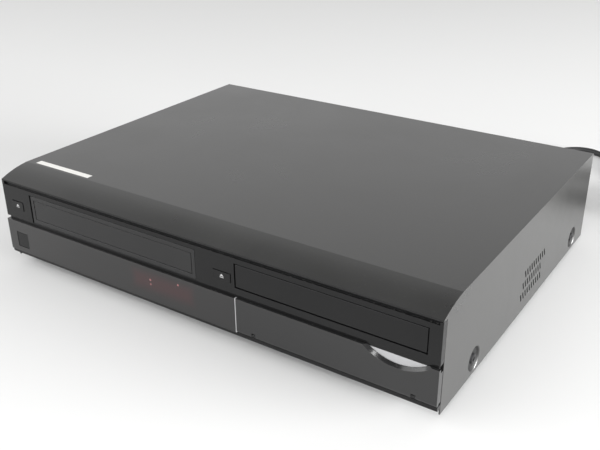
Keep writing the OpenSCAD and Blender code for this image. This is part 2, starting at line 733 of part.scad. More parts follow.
module clamp_bridge() {
  color([0.7, 0.7, 0.72]) placed() difference() {
    span([drive_x0, drive_x1], [disc_y - 17, disc_y + 17], [bridge_z, bridge_z + plate_t]);
    post([bridge_z - 1, bridge_z + 3], [tray_x, disc_y], 10);
    for (x = [tray_x - 52, tray_x + 30])
      span([x, x + 22], [disc_y - 8, disc_y + 8], [bridge_z - 1, bridge_z + 3]);
  }
}

module disc_clamp() {
  color([0.85, 0.85, 0.83]) placed() translate([tray_x, disc_y, clamp_z]) rotate_extrude(angle = 360)
    polygon([[7.8, 0], [15, 0], [15, 2.4], [9.7, 2.4], [9.7, 6.5], [12.5, 6.5], [12.5, 8], [0, 8],
      [0, 1.6], [7.2, 1.6]]);
}

// The traverse hangs a few degrees down at the front when no disc is played
module lowered() {
  translate([0, traverse_pivot[0], traverse_pivot[1]]) rotate([traverse_drop, 0, 0])
    translate([0, -traverse_pivot[0], -traverse_pivot[1]]) children();
}

module traverse_frame() {
  color([0.8, 0.8, 0.82]) placed() lowered()
    for (s = [-1, 1]) bar_y([94, 167], [tray_x + s * rod_x, rod_z], rod_r);
  color([0.3, 0.3, 0.32]) placed() lowered() difference() {
    union() {
      span([tray_x - 40, tray_x + 42], [60, traverse_pivot[0] - 6], [traverse_z, traverse_z + 2]);
      for (x = [tray_x - 41, tray_x + 37]) {
        span([x, x + 4], [traverse_pivot[0] - 20, traverse_pivot[0] + 1],
          [traverse_pivot[1] - 3, traverse_pivot[1] + 3]);
      }
      bar_x([tray_x - 50, tray_x - 38], traverse_pivot, 2);
      bar_x([tray_x + 38, tray_x + 50], traverse_pivot, 2);
      for (s = [-1, 1], y = [96, 165]) span([tray_x + s * rod_x - 3, tray_x + s * rod_x + 3], [y - 2, y + 2],
        [rod_z - 3, traverse_z + 0.1]);
    }
    span([tray_x - 33, tray_x + 37], [98.5, 162], [traverse_z - 1, traverse_z + 3]);
    post([traverse_z - 1, traverse_z + 3], [tray_x, disc_y], 5);
    for (s = [-1, 1]) bar_y([90, 170], [tray_x + s * rod_x, rod_z], rod_r + 0.02);
  }
}

module spindle_motor() {
  color([0.5, 0.5, 0.52]) placed() lowered() {
    difference() {
      post([traverse_z + 2, traverse_z + 6.6], [tray_x, disc_y], 11.5);
      post([traverse_z, traverse_z + 8], [tray_x, disc_y], 1 + running);
    }
    difference() {
      bar_y([66, 92], [tray_x + 34, traverse_z - 8], 8);
      bar_y([86, 93], [tray_x + 34, traverse_z - 8], 0.8);
    }
  }
}

module turntable() {
  color([0.15, 0.15, 0.16]) placed() lowered() translate([tray_x, disc_y, traverse_z]) {
    rotate_extrude() polygon([[0, 6.9], [13.5, 6.9], [13.5, 10.4], [12, 11], [12, 13.6], [8, 13.6],
      [7.4, 13.8], [7.3, 15], [6, 15.9], [0, 15.9]]);
    translate([0, 0, 2.6]) cylinder(h = 5, r = 1);
  }
}

module pickup_sled() {
  color([0.35, 0.35, 0.37]) placed() lowered() {
    difference() {
      union() {
        span([tray_x - rod_x - 4, tray_x + rod_x + 3.4], [99, 125], [rod_z - 2.4, rod_z + 4]);
        span([tray_x - 12, tray_x + 12], [100, 122], [rod_z + 3.9, rod_z + 6]);
        span([tray_x + rod_x + 3, tray_x + 34 - 1.5 - free], [108, 118], [traverse_z - 9.5, rod_z]);
      }
      for (s = [-1, 1]) bar_y([98, 126], [tray_x + s * rod_x, rod_z], rod_r + running);
    }
    post([rod_z + 5.9, rod_z + 7.2], [tray_x, disc_y + 24], 4.5);
  }
}

module lead_screw() {
  color([0.78, 0.78, 0.8]) placed() lowered() translate([tray_x + 34, 0, traverse_z - 8]) {
    bar_y([87, 93], [0, 0], 0.75);
    translate([0, 92.4, 0]) rotate([-90, 0, 0]) rotate_extrude() polygon(concat([[0, 0]],
      [for (y = [0:3:69]) each [[1.1, y], [1.1, y + 1.2], [1.5, y + 1.6], [1.5, y + 2.6]]], [[0, 71.6]]));
  }
}

module tray_gear() {
  color([0.9, 0.9, 0.86]) placed() translate([rack_x + pinion_r, pinion_y, 0]) difference() {
    union() {
      translate([0, 0, tray_foot - rack_h]) gear(pinion_teeth, rack_h - free);
      translate([0, 0, drive_floor + 6]) gear(wheel_teeth, 4);
      post([drive_floor + 2.3, tray_foot - rack_h + 0.1], [0, 0], 5);
    }
    post([0, tray_foot], [0, 0], 2.5 + running);
  }
}

module belt_pulley() {
  color([0.88, 0.88, 0.84]) placed() translate([pulley_x, pinion_y, 0]) difference() {
    union() {
      translate([0, 0, drive_floor + 6]) rotate(180 + 180 / pulley_teeth) gear(pulley_teeth, 4);
      translate([0, 0, drive_floor + 2.3]) rotate_extrude() polygon([[0, 0], [pulley_r + 1, 0],
        [pulley_r + 1, 0.5], [pulley_r, 0.9], [pulley_r, 2.7], [pulley_r + 1, 3.1], [pulley_r + 1, 3.4],
        [0, 3.4], [0, 3.8]]);
      post([drive_floor + 2.3, drive_floor + 6.1], [0, 0], 4);
    }
    post([0, tray_foot], [0, 0], 2 + running);
  }
}

module motor_pulley() {
  color([0.85, 0.8, 0.5]) placed() translate([motor_x, pinion_y, drive_floor + 2.3]) {
    rotate_extrude() polygon([[0, 0], [motor_r + 1, 0], [motor_r + 1, 0.5], [motor_r, 0.9], [motor_r, 2.7],
      [motor_r + 1, 3.1], [motor_r + 1, 3.4], [0, 3.4]]);
    translate([0, 0, -8]) cylinder(h = 8.5, r = 1);
  }
}

// Round both pulleys and straight between them
module belt_outline(grow) {
  reach = motor_x - pulley_x;
  lean = acos((pulley_r - motor_r) / reach);
  polygon(concat(
    [for (i = [0:24]) let (a = lean + (360 - 2 * lean) * i / 24) (pulley_r + grow) * [cos(a), sin(a)]],
    [for (i = [0:12]) let (a = -lean + 2 * lean * i / 12) [reach, 0] + (motor_r + grow) * [cos(a), sin(a)]]));
}

module tray_belt() {
  color([0.08, 0.08, 0.08]) placed() translate([pulley_x, pinion_y, drive_floor + 3.5]) linear_extrude(1.2)
    difference() {
      belt_outline(1.1);
      belt_outline(0.15);
    }
}

module tray_motor() {
  color([0.6, 0.6, 0.62]) placed() difference() {
    union() {
      post([drive_floor - 20, drive_floor], [motor_x, pinion_y], 10);
      post([drive_floor - 0.1, drive_floor + 1.6], [motor_x, pinion_y], 2.8);
    }
    post([drive_floor - 7, drive_floor + 3], [motor_x, pinion_y], 1 + running);
  }
}

module deck_plate() {
  color([0.75, 0.74, 0.68]) placed() {
    difference() {
      span([deck_box[0], deck_box[1] + 4], [deck_box[2], deck_box[3]], [deck_z, deck_top]);
      for (at = deck_post_xy) post([deck_z - 1, deck_top + 1], at, 1.7);
      for (s = [-1, 1]) translate([cassette_x, 0, 0]) guide_groove(s);
      post([deck_z - 1, deck_top + 1], capstan_at, 5.1);
      post([deck_z - 1, deck_top + 1], [cassette_x, 118], 16);
      span([cassette_x - 60, cassette_x + 60], [40, 72], [deck_z - 1, deck_top + 1]);
    }
    for (s = [-1, 1]) post([deck_top, deck_top + 14], [cassette_x + s * reel_pitch / 2, 118], 2);
    post([deck_top, deck_top + 26], pinch_pivot, 2);
    post([deck_top, deck_top + 7], cam_at, 3);
  }
}

// Groove in which a guide's foot runs, on the left or right of the drum
module guide_groove(s) {
  run = norm(guide_run);
  lean = atan2(guide_run[0], guide_run[1]);
  translate([s * (cassette_x - supply_from[0]), supply_from[1], deck_z - 1]) rotate(s * lean)
    translate([-2, -2, 0]) cube([4, run + 4, deck_t + 2]);
}

module bracket_plate() {
  difference() {
    span([bracket_x, bracket_x + plate_t], [deck_box[2] + 1, 178], [deck_top, bracket_top]);
    for (y = holder_pins) {
      slot_y([bracket_x - 1, bracket_x + 3], [y - carriage_travel, y], holder_pin_z, slot_w);
      slot_z([bracket_x - 1, bracket_x + 3], y, [holder_pin_z - cassette_drop, holder_pin_z], slot_w);
    }
    slot_y([bracket_x - 1, bracket_x + 3], [slider_pins[0] - carriage_travel, slider_pins[1]],
      slider_pin_z, slot_w);
  }
  for (y = [34, 140])
    span([bracket_x + plate_t / 2, bracket_x + 8], [y, y + 16], [deck_top, deck_top + plate_t]);
}

module carriage_frame() {
  color([0.74, 0.75, 0.76]) placed() translate([cassette_x, 0, 0]) {
    both_sides() bracket_plate();
    for (y = [44, 152]) span([-bracket_x - plate_t, bracket_x + plate_t], [y, y + 12],
      [bracket_top, bracket_top + plate_t]);
  }
}

module carriage_slider() {
  color([0.66, 0.67, 0.68]) placed() translate([cassette_x, 0, 0]) {
    both_sides() {
      difference() {
        span([slider_x, slider_x + 1], [86, 172], [deck_top + 6, slider_top]);
        for (y = holder_pins) slot_z([slider_x - 1, slider_x + 2], y,
          [holder_pin_z - cassette_drop, holder_pin_z], slot_w);
        span([slider_x - 1, slider_x + 2], [104, 153], [deck_top + 5, 60]);
      }
      for (y = slider_pins) bar_x([slider_x + 0.9, bracket_x + 2.2], [y, slider_pin_z], holder_pin_r);
    }
    for (y = [92, 128]) span([-slider_x - 1, slider_x + 1], [y, y + 16], [slider_top - 1, slider_top]);
  }
}

module cassette_holder() {
  color([0.7, 0.71, 0.72]) placed() translate([cassette_x, 0, 0]) {
    both_sides() {
      span([holder_x, holder_x + holder_wall], [holder_y0, holder_y1], [holder_foot, holder_top + 1]);
      span([holder_x - 10, holder_x + 0.1], [holder_y0, holder_y1], [holder_foot, holder_foot + holder_wall]);
      span([holder_x - 10, holder_x + 0.1], [holder_y1 - 1, holder_y1], [holder_foot, holder_foot + 10]);
      for (y = holder_pins)
        bar_x([holder_x + holder_wall - 0.1, bracket_x + 2.2], [y, holder_pin_z], holder_pin_r);
    }
    for (y = [92, 146]) difference() {
      span([-holder_x - 0.5, holder_x + 0.5], [y, y + 18], [holder_top, holder_top + 1]);
      for (x = [-60, 20]) span([x, x + 40], [y + 5, y + 13], [holder_top - 1, holder_top + 2]);
    }
  }
}

// The drum's axis leans towards the front
module on_drum() {
  translate([cassette_x, drum_y, drum_z]) rotate([drum_tilt, 0, 0]) children();
}

module lower_drum() {
  color([0.8, 0.81, 0.82]) placed() difference() {
    union() {
      on_drum() rotate_extrude($fn = 96) polygon([[0, 0], [drum_d / 2 - 1, 0], [drum_d / 2, 1],
        [drum_d / 2, drum_lower_h - 5], [drum_d / 2 - 0.4, drum_lower_h - 4.4],
        [drum_d / 2, drum_lower_h - 3.8], [drum_d / 2, drum_lower_h], [0, drum_lower_h]]);
      post([deck_top, drum_z + 3], [cassette_x, drum_y], 22);
    }
    on_drum() translate([0, 0, 5]) cylinder(h = drum_lower_h, r = 4 + running);
  }
}

module head_drum() {
  r = drum_d / 2;
  color([0.88, 0.88, 0.9]) placed() on_drum() difference() {
    union() {
      translate([0, 0, drum_lower_h + free]) rotate_extrude($fn = 96) polygon([[0, 0], [r, 0],
        [r, drum_upper_h - 1], [r - 1, drum_upper_h], [r - 4, drum_upper_h], [r - 5, drum_upper_h - 2],
        [14, drum_upper_h - 2], [13, drum_upper_h + 1.5], [0, drum_upper_h + 1.5]]);
      translate([0, 0, 6]) cylinder(h = drum_lower_h, r = 4);
    }
    for (a = [0:45:315])
      rotate(a) translate([20, 0, drum_lower_h + drum_upper_h - 3]) cylinder(h = 9, r = 2.6);
    for (a = [0:90:270]) rotate(a + 20) translate([r - 2.5, -1.5, drum_lower_h]) cube([5, 3, 2]);
  }
}

module capstan() {
  color([0.82, 0.82, 0.84]) placed() translate([capstan_at[0], capstan_at[1], 0]) {
    post([pan_top + 3, deck_top + 32], [0, 0], capstan_r);
    translate([0, 0, pan_top + 3]) rotate_extrude() polygon([[0, 0], [8, 0], [9, 1], [flywheel_r - 4, 1],
      [flywheel_r - 3, 0], [flywheel_r, 0], [flywheel_r, 5.8], [0, 5.8]]);
  }
}

module capstan_motor() {
  color([0.3, 0.42, 0.3]) placed() translate([capstan_at[0], capstan_at[1], 0]) difference() {
    union() {
      span([-5, 30], [-22, 22], [deck_z - board_t, deck_z]);
      post([deck_z - 2.6, deck_top + 5.5], [0, 0], 5);
    }
    post([0, 60], [0, 0], capstan_r + running);
  }
}

module pinch_arm() {
  reach = pinch_at - pinch_pivot;
  turn = atan2(reach[1], reach[0]);
  color([0.7, 0.7, 0.7]) placed() translate([pinch_pivot[0], pinch_pivot[1], 0]) rotate(turn) {
    difference() {
      post([deck_top + 0.3, deck_top + 32], [0, 0], 3.8);
      post([deck_top - 1, deck_top + 28], [0, 0], 2 + running);
    }
    for (z = [deck_top + 6, deck_top + 30]) {
      span([3, norm(reach)], [-3, 3], [z, z + 2]);
      post([z, z + 2], [norm(reach), 0], 3);
    }
    post([deck_top + 6, deck_top + 32], [norm(reach), 0], 1.5);
  }
}

module pinch_roller() {
  color([0.1, 0.1, 0.1]) placed() translate([pinch_at[0], pinch_at[1], 0]) difference() {
    post([deck_top + 8.4, deck_top + 29.6], [0, 0], roller_r);
    post([deck_top, deck_top + 40], [0, 0], 1.5 + running);
  }
}

module reel(x) {
  placed() translate([x, 118, deck_top]) difference() {
    union() {
      translate([0, 0, 0.4]) rotate_extrude() polygon([[0, 0], [17, 0], [17, 2.6], [12, 3.4], [8.4, 3.8],
        [8.4, 14], [6, 16], [0, 16]]);
      for (a = [0:120:240]) rotate(a) translate([7.5, -1, 4]) cube([3, 2, 8]);
    }
    translate([0, 0, -1]) cylinder(h = 16, r = 2 + running);
  }
}

module supply_reel() {
  color([0.85, 0.85, 0.82]) reel(cassette_x - reel_pitch / 2);
}

module takeup_reel() {
  color([0.85, 0.85, 0.82]) reel(cassette_x + reel_pitch / 2);
}

// Foot, upright guide roller and slanted pin, at its place before threading
module tape_guide(s) {
  placed() translate([cassette_x + s * (cassette_x - supply_from[0]), supply_from[1], deck_top]) {
    span([-guide_w / 2, guide_w / 2], [-8, 8], [0.1, 4]);
    post([-deck_t - 1.6, 0.2], [0, 0], 1.7);
    post([-deck_t - 2.6, -deck_t - 0.4], [0, 0], 4);
    guide_roller();
    translate([s * 2, -5, 3]) rotate([8, 0, 0]) cylinder(h = 20, r = 1);
  }
}

module guide_roller() {
  translate([0, 2, 0]) rotate_extrude() polygon([[0, 3.9], [2, 3.9], [2, 6], [4, 6], [4, 7], [3, 7],
    [3, 24], [4, 24], [4, 25.4], [0, 25.4]]);
}

module supply_guide() {
  color([0.75, 0.75, 0.78]) tape_guide(-1);
}

module takeup_guide() {
  color([0.75, 0.75, 0.78]) tape_guide(1);
}

module tape_heads() {
  color([0.6, 0.6, 0.62]) placed() translate([cassette_x, 0, 0]) {
    span([-60.25, -52.25], [190, 200], [deck_top, deck_top + 27]);
    span([49.75, 58.75], [210, 218], [deck_top, deck_top + 30]);
    span([50.75, 61.75], [218, 222], [deck_top, deck_top + 12]);
  }
}

module cam_gear() {
  color([0.9, 0.9, 0.86]) placed() translate([cam_at[0], cam_at[1], deck_top]) difference() {
    union() {
      translate([0, 0, 0.4]) gear(cam_teeth, 3);
      post([0.4, 6], [0, 0], 11);
    }
    post([-1, 9], [0, 0], 3 + running);
    difference() {
      post([4.4, 7], [0, 1], 9);
      post([4, 7], [0, 1], 7);
    }
  }
}

module loading_motor() {
  color([0.6, 0.6, 0.62]) placed() translate([cam_at[0], cam_at[1], deck_top]) {
    difference() {
      union() {
        post([6, 30], loading_at, 11);
        span([7, 31], [5, 30], [4.6, 6]);
      }
      post([4, 12], loading_at, 1 + running);
      post([4, 6.6], [0, 0], 13);
    }
    span([26.5, 31], [10, 28], [0, 4.7]);
    span([7, 12], [26, 30], [0, 4.7]);
  }
}

module loading_pinion() {
  at = cam_at + loading_at;
  color([0.85, 0.8, 0.5]) placed() translate([at[0], at[1], deck_top]) {
    translate([0, 0, 0.4]) rotate(225) gear(loading_teeth, 3);
    cylinder(h = 11, r = 1);
  }
}

module chip(x, y, z, side) {
  span([x, x + side], [y, y + side], [z, z + 1.8]);
}

module main_board() {
  top = main_z + board_t;
  low = power_z0 + board_t;
  color([0.18, 0.4, 0.22]) placed() {
    span([main_box[0], main_box[1]], [main_box[2], main_box[3]], [main_z, top]);
    span([digital_box[0], digital_box[1]], [digital_box[2], digital_box[3]], [power_z0, low]);
    chip(-96, main_box[2] + 8, top, 24);
    chip(-40, main_box[2] + 6, top, 18);
    for (x = [-150, -142, -60, 4, 14]) post([top, top + 9], [x, main_box[2] + 11], 3.2);
    translate([digital_box[0], digital_box[2], 0]) {
      chip(26, 62, low, 28);
      chip(76, 72, low, 16);
      for (x = [20, 68]) span([x, x + 24], [22, 34], [low, low + 3]);
      for (x = [36, 48]) post([low, low + 8], [x, 112], 3.2);
    }
  }
}

module power_board() {
  top = power_z0 + board_t;
  color([0.62, 0.5, 0.28]) placed() translate([power_box[0], power_box[2], 0]) {
    span([0, power_box[1] - power_box[0]], [0, power_box[3] - power_box[2]], [power_z0, top]);
    difference() {
      span([58, 92], [30, 60], [top, top + 24]);
      for (y = [34, 52]) span([57, 93], [y, y + 4], [top - 1, top + 4]);
    }
    for (at = [[20, 44], [20, 66], [40, 84]]) post([top, top + 22], at, 8);
    for (at = [[110, 19], [122, 19], [116, 84]]) post([top, top + 14], at, 5);
    span([124, 140], [60, 84], [top, top + 14]);
    for (i = [0:6]) span([40 + i * 5, 41.5 + i * 5], [8, 24], [top + 2, top + 22]);
    span([38, 73], [14, 17], [top, top + 22]);
  }
}

module hard_disk() {
  x = [disk_at[0], disk_at[0] + disk_len];
  y = [disk_at[1], disk_at[1] + disk_w];
  color([0.7, 0.71, 0.73]) placed() difference() {
    union() {
      span(x, y, [disk_z, disk_z + disk_h - 4]);
      span([x[0] + 3, x[1] - 14], [y[0] + 3, y[1] - 3], [disk_z + disk_h - 4.1, disk_z + disk_h]);
    }
    span([x[1] - 9, x[1] + 1], [y[0] + 12, y[1] - 34], [disk_z - 1, disk_z + 8]);
    for (i = [x[0] + 30, x[0] + 72, x[0] + 132]) bar_y([y[0] - 1, y[0] + 4], [i, disk_z + 6.4], 1.6);
    translate([(x[0] + x[1]) / 2 - 20, (y[0] + y[1]) / 2, disk_z + disk_h - 0.8]) cylinder(h = 2, r = 34);
  }
}

module disk_bracket() {
  left = disk_shelf[0];
  right = disk_shelf[1];
  color([0.72, 0.73, 0.74]) placed() {
    difference() {
      span([left, right], [disk_shelf[2], disk_shelf[3]], [disk_z - plate_t, disk_z]);
      span([left + 16, right - 20], [disk_shelf[2] + 14, disk_shelf[3] - 14],
        [disk_z - plate_t - 1, disk_z + 1]);
    }
    for (y = [disk_shelf[2] + 6, disk_shelf[3] - 22]) {
      for (x = [left, right - plate_t]) span([x, x + plate_t], [y, y + 14], [pan_top, disk_z - 1.1]);
      for (x = [[left, left + 7], [right - 4.5, right]]) span(x, [y, y + 14], [pan_top, pan_top + plate_t]);
    }
  }
}

module rear_panel() {
  color([0.7, 0.71, 0.72]) placed() difference() {
    span([-pan_side, pan_side], [panel_y, panel_y + sheet], [pan_z, top_h - sheet - 0.2]);
    for (x = jack_x, z = jack_z) bar_y([panel_y - 1, panel_y + 3], [x, z], jack_r + free);
    for (z = video_z) bar_y([panel_y - 1, panel_y + 3], [video_x, z], 5.5);
    for (s = [wide_socket, light_socket]) span([s[0] - 0.5, s[1] + 0.5], [panel_y - 1, panel_y + 3],
      [s[2] - 0.5, s[3] + 0.5]);
    for (z = aerial_z) bar_y([panel_y - 1, panel_y + 3], [aerial_x, z], 5);
    for (x = rear_screw_x)
      bar_y([panel_y - 1, panel_y + 3], [x, rear_screw_z], screw_r + running);
    bar_y([panel_y - 1, panel_y + 3], gland_at, 5.6);
    for (r = [8, 13, 18], a = [0:30:330]) translate([fan_at[0], panel_y, fan_at[1]]) rotate([0, a, 0])
      translate([0, 0, r]) rotate([90, 0, 0]) cylinder(h = 6, r = r / 9 + 0.6, center = true, $fn = 24);
  }
}

module rear_jacks() {
  tip = cover_depth + rear_reach;
  low = main_z + board_t;
  color([0.15, 0.15, 0.16]) placed() {
    for (x = jack_x) difference() {
      union() {
        span([x - 6, x + 6], [panel_y - 14, panel_y], [low, jack_z[2] + 6]);
        for (z = jack_z) bar_y([panel_y - 1, tip], [x, z], jack_r);
      }
      for (z = jack_z) {
        bar_y([tip - 9, tip + 1], [x, z], 1.65);
        difference() {
          bar_y([tip - 7, tip + 1], [x, z], 3.6);
          bar_y([tip - 8, tip + 2], [x, z], 2.6);
        }
      }
    }
    difference() {
      union() {
        for (z = video_z) bar_y([panel_y - 10, panel_y + 2], [video_x, z], 5.2);
        span([video_x - 6.5, video_x + 6.5], [panel_y - 12, panel_y], [low, video_z[1] + 6]);
      }
      for (z = video_z) bar_y([panel_y - 6, panel_y + 3], [video_x, z], 4.3);
    }
    difference() {
      union() {
        span([wide_socket[0], wide_socket[1]], [panel_y - 10, panel_y + 1.5],
          [wide_socket[2], wide_socket[3]]);
        span([wide_socket[0], wide_socket[1]], [panel_y - 10, panel_y], [low, wide_socket[2] + 0.1]);
      }
      span([wide_socket[0] + 1, wide_socket[1] - 1], [panel_y - 8, panel_y + 2],
        [wide_socket[2] + 0.8, wide_socket[3] - 0.8]);
    }
    span([light_socket[0], light_socket[1]], [panel_y - 12, panel_y + 1.5],
      [light_socket[2], light_socket[3]]);
    span([light_socket[0] + 1.5, light_socket[1] - 1.5], [panel_y - 12, panel_y - 4],
      [wide_socket[3], light_socket[2] + 0.1]);
    difference() {
      union() {
        span([aerial_x - 12, aerial_x + 14], [panel_y - 46, panel_y], [low, 74]);
        for (z = aerial_z) bar_y([panel_y - 1, tip], [aerial_x, z], 4.7);
      }
      for (z = aerial_z) bar_y([tip - 8, tip + 1], [aerial_x, z], 1.2);
    }
  }
}

module fan_frame() {
  y = [panel_y - fan_d, panel_y];
  half = fan_w / 2;
  color([0.12, 0.12, 0.12]) placed() {
    difference() {
      span([fan_at[0] - half, fan_at[0] + half], y, [fan_at[1] - half, fan_at[1] + half]);
      bar_y([y[0] - 1, y[1] + 1], fan_at, half - 1.5);
      for (x = [-1, 1], z = [-1, 1]) bar_y([y[0] - 1, y[1] + 1], fan_at + (half - 4) * [x, z], 2);
    }
    bar_y([y[1] - 3, y[1]], fan_at, 10);
    for (a = [45, 165, 285]) translate([fan_at[0], y[1] - 1, fan_at[1]]) rotate([0, a, 0])
      translate([8, -1.5, -1.5]) cube([half - 9, 2.5, 3]);
    bar_y([y[0] + 3, y[1] - 2], fan_at, 1.5);
  }
}

module fan_rotor() {
  y = [panel_y - fan_d + 1, panel_y - 3 - free];
  color([0.16, 0.16, 0.16]) placed() translate([fan_at[0], 0, fan_at[1]]) difference() {
    union() {
      bar_y(y, [0, 0], 10);
      for (a = [0:360 / 7:359]) rotate([0, a, 0]) translate([0, (y[0] + y[1]) / 2, 15]) rotate([0, 0, 38])
        cube([1.2, 12, 13.5], center = true);
    }
    bar_y([y[0] + 1.5, y[1] + 1], [0, 0], 1.5 + running);
  }
}

module cord_gland() {
  y0 = panel_y + sheet;
  color([0.06, 0.06, 0.06]) placed() translate([gland_at[0], y0, gland_at[1]]) rotate([-90, 0, 0])
    rotate_extrude() polygon([[0, -5], [7.4, -5], [7.4, -sheet], [5.5, -sheet], [5.5, 0], [7.8, 0], [7.8, 3],
      [cord_d / 2 + 2.6, 4], [cord_d / 2 + 0.5, 3 + gland_len], [0, 3 + gland_len]]);
}

// Rings of a tube along a route, each across the run of the route
function run_at(route, i) = let (
    a = route[max(i - 1, 0)],
    b = route[min(i + 1, len(route) - 1)]
  ) (b - a) / norm(b - a);
function ring_at(route, i, r, sides) = let (
    run = run_at(route, i),
    flat = cross(run, [0, 0, 1]),
    across = flat / norm(flat),
    up = cross(across, run)
  ) [for (k = [0:sides - 1]) route[i] + r * (cos(360 * k / sides) * across + sin(360 * k / sides) * up)];

module tube(route, r, sides) {
  rings = len(route);
  points = [for (i = [0:rings - 1]) each ring_at(route, i, r, sides)];
  walls = [for (i = [0:rings - 2], k = [0:sides - 1])
    [i * sides + k, (i + 1) * sides + k, (i + 1) * sides + (k + 1) % sides, i * sides + (k + 1) % sides]];
  ends = [[for (k = [0:sides - 1]) k], [for (k = [sides - 1:-1:0]) (rings - 1) * sides + k]];
  polyhedron(points, concat(walls, ends));
}

module power_cord() {
  color([0.07, 0.07, 0.07]) tube(cord_route, cord_d / 2, 8);
}

module cord_coil() {
  color([0.07, 0.07, 0.07]) translate([coil_at[0], coil_at[1], 0.05]) rotate_extrude()
    translate([coil_edge - 3 * cord_d, 0]) square([3 * cord_d, 2 * cord_d]);
}

module mains_plug() {
  color([0.07, 0.07, 0.07]) translate([plug_at[0], plug_at[1], 0]) {
    linear_extrude(15) polygon([[-11, -13], [11, -13], [11, 0], [6.4, 9], [plug_tail_w / 2, plug_back],
      [-plug_tail_w / 2, plug_back], [-6.4, 9], [-11, 0]]);
    for (x = [-1, 1]) translate([x * 6.35 - 0.75, -30, 4.4]) cube([1.5, 17.1, 6.2]);
  }
}

top_cover();
cover_screws();
chassis_base();
feet();
front_bezel();
status_window();
front_flap();
flap_insert();
divider_strip();
cassette_door();
power_button();
eject_button();
tray_button();
front_board();
front_jacks();
tray_front();
disc_tray();
drive_frame();
clamp_bridge();
disc_clamp();
traverse_frame();
spindle_motor();
turntable();
pickup_sled();
lead_screw();
tray_gear();
belt_pulley();
motor_pulley();
tray_belt();
tray_motor();
deck_plate();
carriage_frame();
carriage_slider();
cassette_holder();
lower_drum();
head_drum();
capstan();
capstan_motor();
pinch_arm();
pinch_roller();
supply_reel();
takeup_reel();
supply_guide();
takeup_guide();
tape_heads();
cam_gear();
loading_motor();
loading_pinion();
main_board();
power_board();
hard_disk();
disk_bracket();
rear_panel();
rear_jacks();
fan_frame();
fan_rotor();
cord_gland();
power_cord();
cord_coil();
mains_plug();
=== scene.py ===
import json
import math

import bmesh
import bpy
from mathutils import Matrix, Vector


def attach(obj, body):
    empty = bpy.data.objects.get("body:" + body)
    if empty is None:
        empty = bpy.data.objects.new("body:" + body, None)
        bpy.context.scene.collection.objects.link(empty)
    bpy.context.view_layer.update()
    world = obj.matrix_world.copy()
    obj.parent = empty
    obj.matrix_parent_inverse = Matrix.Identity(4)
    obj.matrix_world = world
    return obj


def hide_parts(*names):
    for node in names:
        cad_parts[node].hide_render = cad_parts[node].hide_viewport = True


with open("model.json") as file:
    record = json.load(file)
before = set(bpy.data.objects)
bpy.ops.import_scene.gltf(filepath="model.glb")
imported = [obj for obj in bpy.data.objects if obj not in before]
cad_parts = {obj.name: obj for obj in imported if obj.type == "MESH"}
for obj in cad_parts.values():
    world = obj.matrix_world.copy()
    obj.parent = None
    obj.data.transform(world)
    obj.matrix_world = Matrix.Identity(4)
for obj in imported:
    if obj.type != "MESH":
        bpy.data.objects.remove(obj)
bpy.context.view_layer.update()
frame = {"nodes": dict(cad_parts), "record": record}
nodes = frame["nodes"]
mm = 0.001
halfDepth = 0.1675  # metres from the front face to the middle of the case
print("frame loaded")


def spot(x, y, z):
    # millimetres from the front face, the way the case is measured
    return Vector((x * mm, y * mm - halfDepth, z * mm))


# camera, in metres and degrees

cameraSetup = {
    "place": (0.38043, -0.57833, 0.36421),
    "azimuth": 33.742,
    "elevation": 25.873,
    "roll": -0.374,
    "lens": 48.682,
    "sensor": 36.0,
    "clip": (0.02, 40.0),
}


def makeCamera(setup):
    turn, rise, roll = (math.radians(setup[k]) for k in ("azimuth", "elevation", "roll"))
    ahead = Vector((-math.sin(turn) * math.cos(rise), math.cos(turn) * math.cos(rise), -math.sin(rise)))
    right = ahead.cross(Vector((0, 0, 1))).normalized()
    up = right.cross(ahead)
    rightRolled = math.cos(roll) * right + math.sin(roll) * up
    upRolled = -math.sin(roll) * right + math.cos(roll) * up
    camera = bpy.data.objects.new("camera", bpy.data.cameras.new("camera"))
    camera.data.lens = setup["lens"]
    camera.data.sensor_width = setup["sensor"]
    camera.data.sensor_fit = "HORIZONTAL"
    camera.data.clip_start, camera.data.clip_end = setup["clip"]
    facing = Matrix((rightRolled, upRolled, -ahead)).transposed()
    camera.matrix_world = Matrix.Translation(setup["place"]) @ facing.to_4x4()
    bpy.context.collection.objects.link(camera)
    bpy.context.scene.camera = camera


makeCamera(cameraSetup)
print("camera ready")


# mesh helpers


def arcPoints(centre, radius, stepAngle, count, start=0):
    # points along an arc in a plane, in degrees from its first axis
    angles = [math.radians(start + stepAngle * i) for i in range(count)]
    return [(centre[0] + radius * math.cos(a), centre[1] + radius * math.sin(a)) for a in angles]


def closedRim(start, count):
    # index pairs round a closed loop of points
    return [(start + i, start + (i + 1) % count) for i in range(count)]


def skinRings(made, rings):
    # walls from ring to ring, closed at both ends
    for first, second in zip(rings, rings[1:]):
        for a, b in closedRim(0, len(first)):
            made.faces.new((first[a], first[b], second[b], second[a]))
    made.faces.new(list(reversed(rings[0])))
    made.faces.new(rings[-1])


def meshObject(name, made, smooth=True):
    mesh = bpy.data.meshes.new(name)
    bmesh.ops.recalc_face_normals(made, faces=made.faces)
    made.to_mesh(mesh)
    made.free()
    for face in mesh.polygons:
        face.use_smooth = smooth
    piece = bpy.data.objects.new(name, mesh)
    bpy.context.collection.objects.link(piece)
    return piece


# mains cord: out of the bushing, down to the table, round behind the case and into its coil

